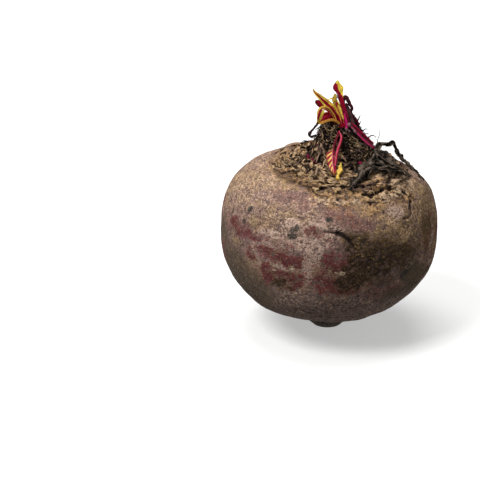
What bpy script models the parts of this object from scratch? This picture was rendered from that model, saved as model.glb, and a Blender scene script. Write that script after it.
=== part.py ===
"""A beetroot lifted and stored, standing on the cut end of its taproot.

The swollen root carries a corky crown of old leaf scars. A neck of dry leaf bases
and fibres stands on the crown, young leaves sprout from it, and one old leaf has
withered over its right side. +Z is up, and the front is -Y. The origin is the middle
of the taproot's cut end.
"""

import math
import random

import bpy
from mathutils import Matrix, Vector

MM = 0.001
GAP = 0.3 * MM  # kept between touching pieces

# Swollen root
BODY_RADIUS = 45.4 * MM
EQUATOR_HEIGHT = 44.2 * MM
BELLY_DEPTH = 37.2 * MM
BELLY_POWER = 2.35
SHOULDER_RISE = 33.0 * MM
SHOULDER_POWER = 2.55
LEAN = math.radians(3.0)  # the upper half leans towards +X
LEAN_REACH = 18.0 * MM
ROOT_SIDES = 72

# Taproot stub: its cut end is the flat that the beet stands on
STUB_RADIUS = 6.6 * MM
STUB_EDGE = 0.7 * MM
BELLY_START = 13.0 * MM

# Crown: terraces of old leaf scars round a flat seat for the neck
CROWN_RADIUS = 30.0 * MM
SEAT_RADIUS = 16.0 * MM
SEAT_SHIFT = Vector((4.2 * MM, -2.5 * MM, 0.0))  # from the body's middle to the crown's
SEAT_LIFT = 0.4 * MM
TERRACES = 4
TERRACE_STEP = 1.3 * MM
SCARS_IN_OUTER_ROW = 15

# Neck of dry leaf bases
NECK_FOOT_RADIUS = 16.2 * MM
NECK_TOP_RADIUS = 6.6 * MM
NECK_HEIGHT = 14.5 * MM
NECK_BEND = Vector((-2.6 * MM, 0.0, 0.0))  # from the neck's foot to its top
NECK_SIDES = 40
NECK_ROWS = 6
BASES_IN_LOW_ROW = 13

# Dry fibres that stand out of the neck
FIBRES = 96
FIBRE_STEPS = 4
FIBRE_RADIUS = 0.55 * MM
FIBRE_TIP_RADIUS = 0.3 * MM
FIBRE_CLEARANCE = 1.3 * MM

GOLDEN_ANGLE = math.radians(137.5)

# Blades and stalks
LEAST_HALF = 0.34 * MM  # half of the thinnest width
BLADE_HALF_THICKNESS = 0.34 * MM
RIB_HALF_THICKNESS = 0.5 * MM
ACROSS = (-1.0, -0.5, 0.0, 0.5, 1.0)  # a blade's points, from its left edge to its right
STALK_SIDES = 8

# A blade's midrib from foot to tip: x, y, z and its reach to the left and right, in mm
LEAF_TALL = (
    (6.1, -4.6, 92.3, 0.7, 0.7),
    (5.8, -4.4, 94.7, 0.7, 0.7),
    (5.2, -4.0, 98.5, 0.8, 0.8),
    (4.0, -3.4, 102.0, 0.8, 0.9),
    (3.0, -2.8, 105.0, 0.8, 1.7),
    (2.5, -2.4, 106.8, 1.5, 2.1),
    (2.5, -2.0, 108.4, 0.9, 1.1),
    (2.6, -1.7, 109.8, 0.4, 0.4),
)
LEAF_LANCE = (
    (3.7, -5.3, 92.5, 0.7, 0.7),
    (2.9, -5.6, 94.2, 0.7, 1.1),
    (1.7, -6.0, 96.5, 0.8, 1.3),
    (0.0, -6.4, 99.1, 0.8, 1.4),
    (-2.1, -6.8, 101.5, 1.2, 1.2),
    (-4.3, -7.1, 103.8, 1.1, 0.9),
    (-6.2, -7.3, 105.6, 0.7, 0.6),
    (-7.4, -7.3, 107.0, 0.4, 0.4),
    (-7.4, -7.1, 107.9, 0.4, 0.4),
)
LEAF_INNER = (
    (4.6, -2.3, 92.3, 0.6, 0.6),
    (4.4, -2.5, 94.1, 0.8, 0.7),
    (3.8, -2.7, 96.8, 1.0, 0.9),
    (2.6, -2.9, 99.4, 1.1, 0.9),
    (1.4, -3.2, 101.7, 0.8, 0.8),
    (1.6, -3.3, 103.0, 0.7, 0.7),
    (1.6, -3.2, 104.3, 0.4, 0.4),
)
LEAF_SPOON = (
    (2.7, -0.5, 92.5, 0.4, 0.4),
    (-0.2, 0.2, 95.1, 0.4, 0.4),
    (-2.5, 0.5, 97.0, 0.7, 0.7),
    (-4.4, 0.6, 98.5, 1.2, 1.2),
    (-5.7, 0.6, 99.7, 1.0, 1.0),
    (-6.2, 0.6, 100.3, 0.4, 0.4),
)
LEAF_ARCH = (
    (2.4, -7.1, 92.2, 0.5, 0.5),
    (1.3, -7.9, 95.9, 0.5, 0.5),
    (-0.2, -8.6, 98.4, 0.5, 0.6),
    (-1.5, -9.2, 100.1, 0.5, 0.6),
    (-3.0, -9.8, 100.8, 0.6, 0.6),
    (-4.5, -10.2, 100.4, 0.8, 0.6),
    (-5.4, -10.4, 99.1, 0.9, 0.5),
    (-5.5, -10.3, 97.1, 0.7, 0.5),
    (-5.8, -10.0, 94.3, 0.4, 0.4),
)
LEAF_LOW = (
    (0.6, -4.9, 92.2, 0.5, 0.5),
    (0.2, -6.0, 94.0, 0.7, 0.8),
    (-0.9, -7.0, 95.2, 1.0, 1.5),
    (-2.6, -7.6, 95.3, 1.3, 1.5),
    (-4.0, -8.0, 94.6, 1.1, 0.8),
    (-4.9, -8.2, 93.9, 0.4, 0.4),
)
LEAF_STRIPED = (
    (2.7, -11.9, 90.0, 0.4, 0.4),
    (1.4, -13.1, 86.4, 0.4, 0.4),
    (0.8, -13.9, 84.3, 0.5, 0.5),
    (0.4, -14.8, 82.0, 1.9, 0.8),
    (0.4, -16.6, 80.4, 1.8, 0.8),
    (0.5, -18.2, 78.5, 1.5, 0.8),
    (0.7, -21.4, 77.5, 1.0, 0.7),
    (0.8, -24.3, 76.6, 0.4, 0.4),
)

# A stalk's middle from foot to tip, and its radius, in mm
LEAF_WILTED = (
    (6.5, -0.5, 92.0, 0.4),
    (5.8, -0.6, 95.6, 0.4),
    (5.2, -0.7, 100.4, 0.5),
    (5.5, -0.7, 102.3, 0.5),
    (6.4, -0.6, 102.0, 0.6),
    (7.2, -0.4, 100.6, 0.6),
    (8.1, -0.1, 98.7, 0.6),
    (8.8, 0.2, 96.9, 0.5),
    (8.8, 0.3, 95.7, 0.4),
)
DRY_STALK = (
    (11.3, -3.0, 91.4, 0.9),
    (10.3, -2.6, 92.8, 0.9),
    (8.9, -2.2, 94.8, 0.9),
    (7.7, -1.9, 96.9, 0.7),
    (6.8, -1.7, 98.8, 0.5),
    (6.4, -1.6, 99.9, 0.4),
)
PETIOLE_RIGHT = (
    (8.8, -8.1, 91.8, 0.9),
    (10.8, -8.6, 89.9, 1.0),
    (13.2, -8.3, 87.3, 1.0),
    (15.5, -8.1, 84.9, 1.0),
    (17.2, -7.2, 83.0, 0.9),
)
PETIOLE_FRONT = (
    (3.6, -10.8, 90.8, 0.5),
    (4.4, -12.3, 88.2, 0.6),
    (3.0, -15.5, 84.2, 0.6),
    (2.4, -18.2, 81.2, 0.6),
    (2.3, -19.3, 79.9, 0.5),
)
LEAF_BUD = (
    (3.9, -18.4, 79.4, 0.5),
    (3.6, -19.7, 78.2, 0.8),
    (3.1, -22.2, 77.3, 1.0),
    (2.5, -25.2, 76.8, 0.8),
    (2.0, -27.8, 76.0, 0.6),
)
LOOP_STRAND = (
    (-5.7, -4.0, 91.7, 0.35),
    (-7.4, -5.0, 89.5, 0.4),
    (-8.8, -6.0, 87.9, 0.4),
    (-8.7, -6.6, 86.9, 0.35),
    (-7.6, -7.0, 87.2, 0.35),
    (-6.0, -7.2, 87.8, 0.35),
)

# The withered leaf's strips: x, y, z and the reach to either side, in mm
WITHERED_BLADE = (
    (18.4, -6.2, 81.2, 0.9, 0.9),
    (17.8, -9.2, 80.6, 1.6, 1.8),
    (16.9, -13.0, 79.4, 1.7, 2.0),
    (15.4, -16.2, 78.2, 1.7, 1.6),
    (13.4, -20.5, 77.2, 1.5, 1.3),
    (11.8, -24.4, 76.2, 0.9, 0.9),
    (10.0, -28.1, 75.3, 0.5, 0.5),
    (8.0, -31.8, 73.9, 0.4, 0.4),
)
WITHERED_ARM = (
    (18.6, -6.6, 81.0, 0.9, 0.9),
    (19.9, -4.5, 82.4, 0.9, 0.9),
    (21.9, -3.0, 82.4, 0.8, 0.8),
    (24.1, -1.6, 81.6, 0.7, 0.7),
    (25.4, -0.8, 82.0, 0.9, 0.9),
    (26.6, -0.2, 81.8, 0.8, 0.8),
    (27.4, 0.0, 79.6, 0.6, 0.6),
    (28.5, 0.2, 77.2, 0.9, 0.9),
    (30.6, 0.2, 75.0, 1.0, 1.0),
    (33.0, -1.0, 73.1, 0.6, 0.6),
    (35.4, -3.0, 71.3, 0.7, 0.7),
    (37.6, -4.2, 69.2, 0.7, 0.7),
    (39.4, -5.0, 67.2, 0.4, 0.4),
)
WITHERED_FLAP = (
    (18.2, -8.0, 80.8, 1.2, 1.2),
    (20.0, -7.4, 79.4, 1.6, 1.6),
    (21.9, -7.4, 78.0, 1.4, 1.4),
    (24.2, -9.0, 77.0, 0.9, 0.9),
    (26.9, -8.9, 75.7, 0.4, 0.4),
)
WITHERED_STRIP = (
    (15.0, -16.6, 78.2, 0.7, 0.7),
    (17.4, -18.4, 77.5, 0.7, 0.7),
    (21.0, -17.6, 76.5, 0.8, 0.8),
    (24.1, -16.6, 75.6, 0.6, 0.6),
    (27.1, -14.9, 74.7, 0.6, 0.6),
    (29.8, -12.5, 73.6, 0.4, 0.4),
)

# Buds that open between the scars: middle in mm, radius in mm, and the way they point
BUDS = (
    ((11.9, -17.5, 78.8), 0.9, (0.3, -0.8, 0.5)),
    ((-8.9, -10.4, 79.5), 0.8, (-0.5, -0.5, 0.8)),
    ((-7.2, -13.5, 78.9), 0.8, (-0.3, -0.6, 0.8)),
    ((-5.5, -9.7, 84.0), 0.8, (-0.5, -0.5, 0.8)),
)


def clear_scene():
    for old in list(bpy.data.objects):
        bpy.data.objects.remove(old, do_unlink=True)


def material(name, colour, roughness, metallic=0.0):
    made = bpy.data.materials.new(name)
    made.use_nodes = True
    shader = made.node_tree.nodes["Principled BSDF"]
    shader.inputs["Base Color"].default_value = (*colour, 1.0)
    shader.inputs["Roughness"].default_value = roughness
    shader.inputs["Metallic"].default_value = metallic
    return made


def solid(name, points, faces, finish, smooth_angle=40):
    mesh = bpy.data.meshes.new(name)
    mesh.from_pydata([tuple(p) for p in points], [], faces)
    mesh.materials.append(finish)
    mesh.shade_smooth()
    mesh.set_sharp_from_angle(angle=math.radians(smooth_angle))
    made = bpy.data.objects.new(name, mesh)
    bpy.context.scene.collection.objects.link(made)
    return made


def fused(core, pieces):
    """Joins the pieces to the core by one Boolean union, applied, and removes them."""
    group = bpy.data.collections.new(core.name + "_pieces")
    bpy.context.scene.collection.children.link(group)
    for piece in pieces:
        bpy.context.scene.collection.objects.unlink(piece)
        group.objects.link(piece)
    union = core.modifiers.new("Union", "BOOLEAN")
    union.operation = "UNION"
    union.operand_type = "COLLECTION"
    union.collection = group
    union.solver = "MANIFOLD"
    bpy.context.view_layer.update()
    graph = bpy.context.evaluated_depsgraph_get()
    joined = bpy.data.meshes.new_from_object(core.evaluated_get(graph))
    core.modifiers.clear()
    core.data = joined
    for piece in pieces:
        bpy.data.objects.remove(piece, do_unlink=True)
    bpy.data.collections.remove(group)
    return core


def smooth_step(x):
    x = min(max(x, 0.0), 1.0)
    return x * x * (3.0 - 2.0 * x)


def lofted(rings):
    """Points and outward faces of a closed skin over rings that run from bottom to top."""
    sides = len(rings[0])
    points = [p for ring in rings for p in ring]
    faces = [tuple(reversed(range(sides)))]
    for low in range(len(rings) - 1):
        for i in range(sides):
            j = (i + 1) % sides
            a, b = low * sides + i, low * sides + j
            faces.append((a, b, b + sides, a + sides))
    faces.append(tuple(range((len(rings) - 1) * sides, len(rings) * sides)))
    return points, faces


def leant(point):
    """The upper half's lean: a turn about the equator's Y axis, full above LEAN_REACH."""
    share = smooth_step((point.z - EQUATOR_HEIGHT) / LEAN_REACH)
    pivot = Vector((0.0, 0.0, EQUATOR_HEIGHT))
    return Matrix.Rotation(LEAN * share, 3, "Y") @ (point - pivot) + pivot


def lobes(azimuth, height):
    """Share by which the body is wider than round: it is slightly squared and lopsided."""
    low = smooth_step((EQUATOR_HEIGHT - height) / BELLY_DEPTH)
    return (
        0.010 * math.cos(2 * azimuth + 0.5)
        + 0.012 * math.cos(3 * azimuth - 0.9)
        + 0.035 * low * math.cos(azimuth - math.radians(205))
        + 0.006 * math.cos(7 * azimuth + 90.0 * height)
    )


def belly_height(radius):
    share = (1.0 - (radius / BODY_RADIUS) ** BELLY_POWER) ** (1.0 / BELLY_POWER)
    return EQUATOR_HEIGHT - BELLY_DEPTH * share


def shoulder_height(radius):
    share = (1.0 - (radius / BODY_RADIUS) ** SHOULDER_POWER) ** (1.0 / SHOULDER_POWER)
    return EQUATOR_HEIGHT + SHOULDER_RISE * share


def stub_outline():
    """(radius, height) from the cut end up to where the belly starts."""
    yield STUB_RADIUS - STUB_EDGE, 0.0
    yield STUB_RADIUS - 0.3 * STUB_EDGE, 0.3 * STUB_EDGE
    yield STUB_RADIUS, STUB_EDGE
    end = Vector((BELLY_START, belly_height(BELLY_START)))
    start = Vector((STUB_RADIUS, STUB_EDGE))
    lift = Vector((STUB_RADIUS + 0.4 * MM, end.y - 1.6 * MM))
    for t in (0.3, 0.6, 0.85):
        point = (1 - t) ** 2 * start + 2 * t * (1 - t) * lift + t**2 * end
        yield point.x, point.y


def belly_outline(steps=11):
    first = math.asin((BELLY_START / BODY_RADIUS) ** (BELLY_POWER / 2))
    for i in range(steps):
        turn = first + (math.pi / 2 - first) * i / steps
        radius = BODY_RADIUS * math.sin(turn) ** (2 / BELLY_POWER)
        yield radius, belly_height(radius)


def shoulder_outline(steps=7):
    last = math.asin((CROWN_RADIUS / BODY_RADIUS) ** (SHOULDER_POWER / 2))
    for i in range(steps):
        turn = math.pi / 2 + (last - math.pi / 2) * i / steps
        radius = BODY_RADIUS * math.sin(turn) ** (2 / SHOULDER_POWER)
        yield radius, shoulder_height(radius)


def crown_drift(radius):
    """Sideways shift of a ring's middle towards the crown's own middle."""
    return SEAT_SHIFT * smooth_step((BODY_RADIUS - radius) / (BODY_RADIUS - SEAT_RADIUS))


def body_ring(radius, height):
    ring = []
    shift = crown_drift(radius) if height > EQUATOR_HEIGHT else Vector()
    spread = smooth_step((radius - STUB_RADIUS) / (BODY_RADIUS - STUB_RADIUS))
    for i in range(ROOT_SIDES):
        azimuth = 2 * math.pi * i / ROOT_SIDES
        r = radius * (1.0 + lobes(azimuth, height) * spread)
        ring.append(leant(Vector((r * math.cos(azimuth), r * math.sin(azimuth), height)) + shift))
    return ring


def scar_edge(azimuth):
    """Wander of a terrace's edge, in terraces."""
    return (
        0.34 * math.sin(3 * azimuth + 1.0)
        + 0.24 * math.sin(5 * azimuth + 2.3)
        + 0.12 * math.sin(11 * azimuth + 0.4)
    )


def crown_ring(terrace, share, lip):
    """One ring of a terrace: share is its place across the terrace, lip its rise in terrace steps."""
    ring = []
    scars = SCARS_IN_OUTER_ROW - terrace
    width = (CROWN_RADIUS - SEAT_RADIUS) / TERRACES
    inner = (terrace + share) / TERRACES
    for i in range(ROOT_SIDES):
        azimuth = 2 * math.pi * i / ROOT_SIDES
        wander = scar_edge(azimuth + 0.5 * terrace) * math.sin(math.pi * inner)
        radius = CROWN_RADIUS - (terrace + share + wander) * width
        pad = abs(math.sin(0.5 * scars * azimuth + terrace * GOLDEN_ANGLE)) ** 0.6
        height = shoulder_height(radius) + lip * TERRACE_STEP * (0.15 + 0.85 * pad)
        r = radius * (1.0 + lobes(azimuth, height) * (1.0 - inner))
        point = Vector((r * math.cos(azimuth), r * math.sin(azimuth), height))
        ring.append(leant(point + crown_drift(radius)))
    return ring


def seat_height():
    return shoulder_height(SEAT_RADIUS) + SEAT_LIFT


def seat_ring(radius):
    ring = []
    for i in range(ROOT_SIDES):
        azimuth = 2 * math.pi * i / ROOT_SIDES
        point = Vector((radius * math.cos(azimuth), radius * math.sin(azimuth), seat_height()))
        ring.append(leant(point + SEAT_SHIFT))
    return ring


def make_root():
    rings = [body_ring(r, h) for r, h in stub_outline()]
    rings += [body_ring(r, h) for r, h in belly_outline()]
    rings += [body_ring(r, h) for r, h in shoulder_outline()]
    for terrace in range(TERRACES):
        for share, lip in ((0.0, 0.0), (0.14, 1.0), (0.6, 0.55)):
            rings.append(crown_ring(terrace, share, lip))
    rings += [seat_ring(0.93 * SEAT_RADIUS), seat_ring(0.45 * SEAT_RADIUS)]
    skin = material("root_skin", (0.20, 0.075, 0.075), 0.62)
    return solid("root", *lofted(rings), skin)


def neck_point(azimuth, climb, out):
    """A point of the neck: climb runs from 0 at its foot to 1 at its top, out is off its side."""
    radius = NECK_FOOT_RADIUS + (NECK_TOP_RADIUS - NECK_FOOT_RADIUS) * climb**0.8 + out
    height = seat_height() + GAP + NECK_HEIGHT * climb
    point = Vector((radius * math.cos(azimuth), radius * math.sin(azimuth), height))
    return leant(point + SEAT_SHIFT + NECK_BEND * climb)


def neck_ring(climb, out):
    return [neck_point(2 * math.pi * i / NECK_SIDES, climb, out) for i in range(NECK_SIDES)]


def bases_ring(row, share, lip):
    """One ring of a row of leaf bases: share is its place up the row, lip how far they stand out."""
    ring = []
    bases = BASES_IN_LOW_ROW - row
    for i in range(NECK_SIDES):
        azimuth = 2 * math.pi * i / NECK_SIDES
        pad = abs(math.sin(0.5 * bases * azimuth + row * GOLDEN_ANGLE))
        climb = (row + share + 0.18 * math.sin(3 * azimuth + row)) / NECK_ROWS
        out = (lip * pad - 0.4) * 1.5 * MM
        ring.append(neck_point(azimuth, min(max(climb, 0.02), 1.0), out))
    return ring


def neck_core(finish):
    """The neck itself: rows of leaf bases that overlap upwards like shingles."""
    rings = [neck_ring(0.0, -2.2 * MM)]
    for row in range(NECK_ROWS):
        rings += [bases_ring(row, 0.12, 0.9), bases_ring(row, 0.85, 0.1)]
    rings.append(neck_ring(1.03, -3.5 * MM))
    return solid("crown_neck", *lofted(rings), finish)


def smoothed(stations, per_span=2):
    """Points on a Catmull-Rom curve through the stations, of as many numbers each, in metres."""
    rows = [[value * MM for value in row] for row in stations]
    rows = [[2 * a - b for a, b in zip(rows[0], rows[1])]] + rows
    rows.append([2 * a - b for a, b in zip(rows[-1], rows[-2])])
    curve = []
    for before, start, end, after in zip(rows, rows[1:], rows[2:], rows[3:]):
        for step in range(per_span):
            t = step / per_span
            curve.append([catmull(t, *four) for four in zip(before, start, end, after)])
    curve.append(rows[-2])
    return curve


def catmull(t, before, start, end, after):
    return 0.5 * (
        2 * start
        + (end - before) * t
        + (2 * before - 5 * start + 4 * end - after) * t**2
        + (3 * start - before - 3 * end + after) * t**3
    )


def frames(points, facing):
    """(side, normal) at each point of a path whose blade looks along facing."""
    last = len(points) - 1
    for i in range(len(points)):
        along = points[min(i + 1, last)] - points[max(i - 1, 0)]
        side = along.cross(facing).normalized()
        yield side, side.cross(along).normalized()


def blade(name, stations, facing, finish, cup=0.0, wave=0.0):
    """A thin blade on its midrib, of like triangles on both faces: cup lifts its edges, wave
    ripples them. Both are shares of the blade's reach."""
    rows = smoothed(stations)
    middles = [Vector(row[:3]) for row in rows]
    count = 2 * len(ACROSS)
    points = []
    for i, (side, normal) in enumerate(frames(middles, Vector(facing))):
        left, right = (max(reach, LEAST_HALF) for reach in rows[i][3:])
        upper, lower = [], []
        for across in ACROSS:
            reach = left if across < 0 else right
            lift = reach * across**2 * (cup + wave * math.sin(2.1 * i + 1.5 * across))
            half = BLADE_HALF_THICKNESS
            half += (RIB_HALF_THICKNESS - BLADE_HALF_THICKNESS) * (1 - abs(across))
            centre = middles[i] + side * (reach * across) + normal * lift
            upper.append(centre + normal * half)
            lower.append(centre - normal * half)
        points += upper + lower[::-1]
    faces = []
    for ring in range(len(rows) - 1):
        base = ring * count
        for k in range(count):
            a, b = base + k, base + (k + 1) % count
            if k < len(ACROSS):
                faces += [(a, b, b + count), (a, b + count, a + count)]
            else:
                faces += [(a, b, a + count), (b, b + count, a + count)]
    end = (len(rows) - 1) * count
    for k in range(len(ACROSS) - 1):
        m = count - 1 - k
        faces.append((k, m, m - 1, k + 1))
        faces.append((end + k, end + k + 1, end + m - 1, end + m))
    return solid(name, points, faces, finish)


def stalk(name, stations, finish, sides=STALK_SIDES, groove=0.0, facing=(0.0, -1.0, 0.3)):
    """A round stalk along its middle, with two grooves along it as a share of its radius."""
    rows = smoothed(stations)
    middles = [Vector(row[:3]) for row in rows]
    rings = []
    for row, middle, (side, normal) in zip(rows, middles, frames(middles, Vector(facing))):
        ring = []
        for i in range(sides):
            turn = 2 * math.pi * i / sides
            radius = max(row[3], LEAST_HALF) * (1.0 - groove * math.cos(turn) ** 2)
            ring.append(middle + radius * (math.sin(turn) * side + math.cos(turn) * normal))
        rings.append(ring)
    return solid(name, *lofted(rings), finish)


def routes_near_neck():
    """Every leaf's and stalk's points with their reach, for the fibres to keep clear of."""
    blades = (LEAF_TALL, LEAF_LANCE, LEAF_INNER, LEAF_SPOON, LEAF_ARCH, LEAF_LOW, LEAF_STRIPED)
    stalks = (LEAF_WILTED, DRY_STALK, PETIOLE_RIGHT, PETIOLE_FRONT, LEAF_BUD, LOOP_STRAND)
    withered = (WITHERED_BLADE, WITHERED_ARM, WITHERED_FLAP, WITHERED_STRIP)
    for stations in blades + stalks + withered:
        for row in smoothed(stations, per_span=4):
            yield Vector(row[:3]), max(row[3:])
    for middle, radius, _ in BUDS:
        yield Vector(middle) * MM, 1.4 * radius * MM


def fibre_route(rank, draw):
    """One fibre's points: it leaves the neck's side, climbs and curls to one side."""
    azimuth = rank * GOLDEN_ANGLE
    climb = 0.05 + 0.86 * (rank + 0.5) / FIBRES
    rise = draw.uniform(0.12, 0.34)
    curl = draw.uniform(-0.5, 0.5)
    reach = draw.uniform(1.4, 3.4) * MM
    route = []
    for step in range(FIBRE_STEPS + 1):
        t = step / FIBRE_STEPS
        out = -1.6 * MM + (reach + 1.6 * MM) * t**0.7 - 0.8 * MM * t**3
        route.append(neck_point(azimuth + curl * t**1.5, climb + rise * t, out))
    return route


def fibre(route, finish):
    """A three-sided tapering fibre whose root is sunk in the neck."""
    rings = []
    for i, (side, normal) in enumerate(frames(route, Vector((0.3, -0.2, 1.0)))):
        share = i / (len(route) - 1)
        radius = FIBRE_RADIUS + (FIBRE_TIP_RADIUS - FIBRE_RADIUS) * share
        ring = []
        for k in range(3):
            turn = 2 * math.pi * k / 3
            ring.append(route[i] + radius * (math.sin(turn) * side + math.cos(turn) * normal))
        rings.append(ring)
    return solid("fibre", *lofted(rings), finish)


def make_neck():
    finish = material("neck_fibre", (0.13, 0.085, 0.045), 0.9)
    draw = random.Random(3)
    taken = list(routes_near_neck())
    fibres = []
    for rank in range(FIBRES):
        route = fibre_route(rank, draw)
        clear = min((point - other).length - reach for point in route for other, reach in taken)
        if clear > FIBRE_CLEARANCE:
            fibres.append(fibre(route, finish))
    return fused(neck_core(finish), fibres)


def make_young_leaves():
    crimson = material("leaf_crimson", (0.33, 0.012, 0.04), 0.4)
    yellow = material("leaf_yellow", (0.72, 0.48, 0.07), 0.45)
    front = (0.1, -1.0, 0.35)
    blade("leaf_tall", LEAF_TALL, front, crimson, cup=0.25, wave=0.1)
    blade("leaf_lance", LEAF_LANCE, front, yellow, cup=0.3)
    blade("leaf_inner", LEAF_INNER, front, yellow, cup=0.2, wave=0.2)
    blade("leaf_spoon", LEAF_SPOON, front, crimson, cup=0.3)
    blade("leaf_arch", LEAF_ARCH, (0.0, -1.0, 0.1), yellow, cup=0.2)
    blade("leaf_low", LEAF_LOW, (0.0, -1.0, 0.4), crimson, cup=0.25)
    blade("leaf_striped", LEAF_STRIPED, (0.0, -0.7, 0.7), yellow, cup=0.2)
    stalk("leaf_bud", LEAF_BUD, yellow)


def make_petioles():
    pink = material("petiole_pink", (0.45, 0.02, 0.08), 0.35)
    stalk("petiole_right", PETIOLE_RIGHT, pink, groove=0.25)
    stalk("petiole_front", PETIOLE_FRONT, pink)


def make_dry_strands():
    dark = material("strand_dark", (0.05, 0.02, 0.02), 0.8)
    stalk("leaf_wilted", LEAF_WILTED, dark)
    stalk("dry_stalk", DRY_STALK, dark)
    stalk("loop_strand", LOOP_STRAND, dark, sides=6)


def make_withered_leaf():
    dark = material("withered_dark", (0.045, 0.035, 0.03), 0.85)
    over = (0.2, -0.3, 1.0)
    body = blade("withered_leaf", WITHERED_BLADE, over, dark, cup=0.3, wave=0.15)
    arm = blade("arm", WITHERED_ARM, (0.5, -0.6, 0.6), dark, cup=0.2, wave=0.1)
    flap = blade("flap", WITHERED_FLAP, over, dark, cup=-0.2, wave=0.2)
    strip = blade("strip", WITHERED_STRIP, over, dark, cup=0.2, wave=0.2)
    return fused(body, [arm, flap, strip])


def make_buds():
    crimson = material("bud_crimson", (0.30, 0.01, 0.06), 0.4)
    for number, (middle, radius, way) in enumerate(BUDS, start=1):
        centre, along = Vector(middle), Vector(way).normalized() * radius
        steps = ((-1.3, 0.45), (-0.5, 0.95), (0.4, 0.9), (1.1, 0.55), (1.5, 0.4))
        stations = [(*(centre + along * at), radius * wide) for at, wide in steps]
        stalk(f"bud_{number}", stations, crimson, sides=6, facing=(1.0, 0.2, 0.1))


def main():
    clear_scene()
    make_root()
    make_neck()
    make_young_leaves()
    make_petioles()
    make_dry_strands()
    make_withered_leaf()
    make_buds()


main()
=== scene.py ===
import itertools
import math

import bpy
import numpy as np
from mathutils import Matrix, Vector


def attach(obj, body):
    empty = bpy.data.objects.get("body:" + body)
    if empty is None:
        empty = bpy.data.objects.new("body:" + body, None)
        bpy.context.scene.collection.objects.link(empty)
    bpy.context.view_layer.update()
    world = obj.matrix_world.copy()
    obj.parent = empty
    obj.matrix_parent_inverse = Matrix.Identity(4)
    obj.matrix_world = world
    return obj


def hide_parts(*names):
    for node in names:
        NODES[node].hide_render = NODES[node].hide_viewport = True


# The looks of a stored beetroot: dusty mauve skin with crimson patches, a corky crown of
# old leaf scars, a neck of matted dry fibres, fresh crimson and yellow leaves and one
# withered leaf. Lengths are in metres, and MM turns the tables' millimetres into them.

MM = 0.001

# Swollen root, as in the solids
BODY_RADIUS = 45.4 * MM
EQUATOR = 44.2 * MM
BELLY_DEPTH = 37.2 * MM
BELLY_POWER = 2.35
SHOULDER_RISE = 33.0 * MM
SHOULDER_POWER = 2.55
LEAN = math.radians(3.0)
LEAN_REACH = 18.0 * MM
STUB_RADIUS = 6.6 * MM
STUB_EDGE = 0.7 * MM
BELLY_START = 13.0 * MM
STUB_FLARE = np.array((9.0, 3.2)) * MM  # radius and height that the stub's side bends towards
SEAM_RADIUS = 31.0 * MM  # where the skin dips under the crown's own mesh
SEAM_SINK = 0.8 * MM
SEAM_FADE = 1.5 * MM

# Crown and neck, as in the solids
CROWN_RADIUS = 30.0 * MM
SEAT_RADIUS = 16.0 * MM
SEAT_SHIFT = np.array((4.2, -2.5, 0.0)) * MM
SEAT_LIFT = 0.4 * MM
TERRACES = 4
TERRACE_STEP = 1.3 * MM
SCARS_IN_OUTER_ROW = 15
NECK_FOOT_RADIUS = 16.2 * MM
NECK_TOP_RADIUS = 6.6 * MM
NECK_HEIGHT = 14.5 * MM
NECK_BEND = np.array((-2.6, 0.0, 0.0)) * MM
NECK_ROWS = 6
BASES_IN_LOW_ROW = 13
GAP = 0.3 * MM
GOLDEN_ANGLE = math.radians(137.5)

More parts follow.
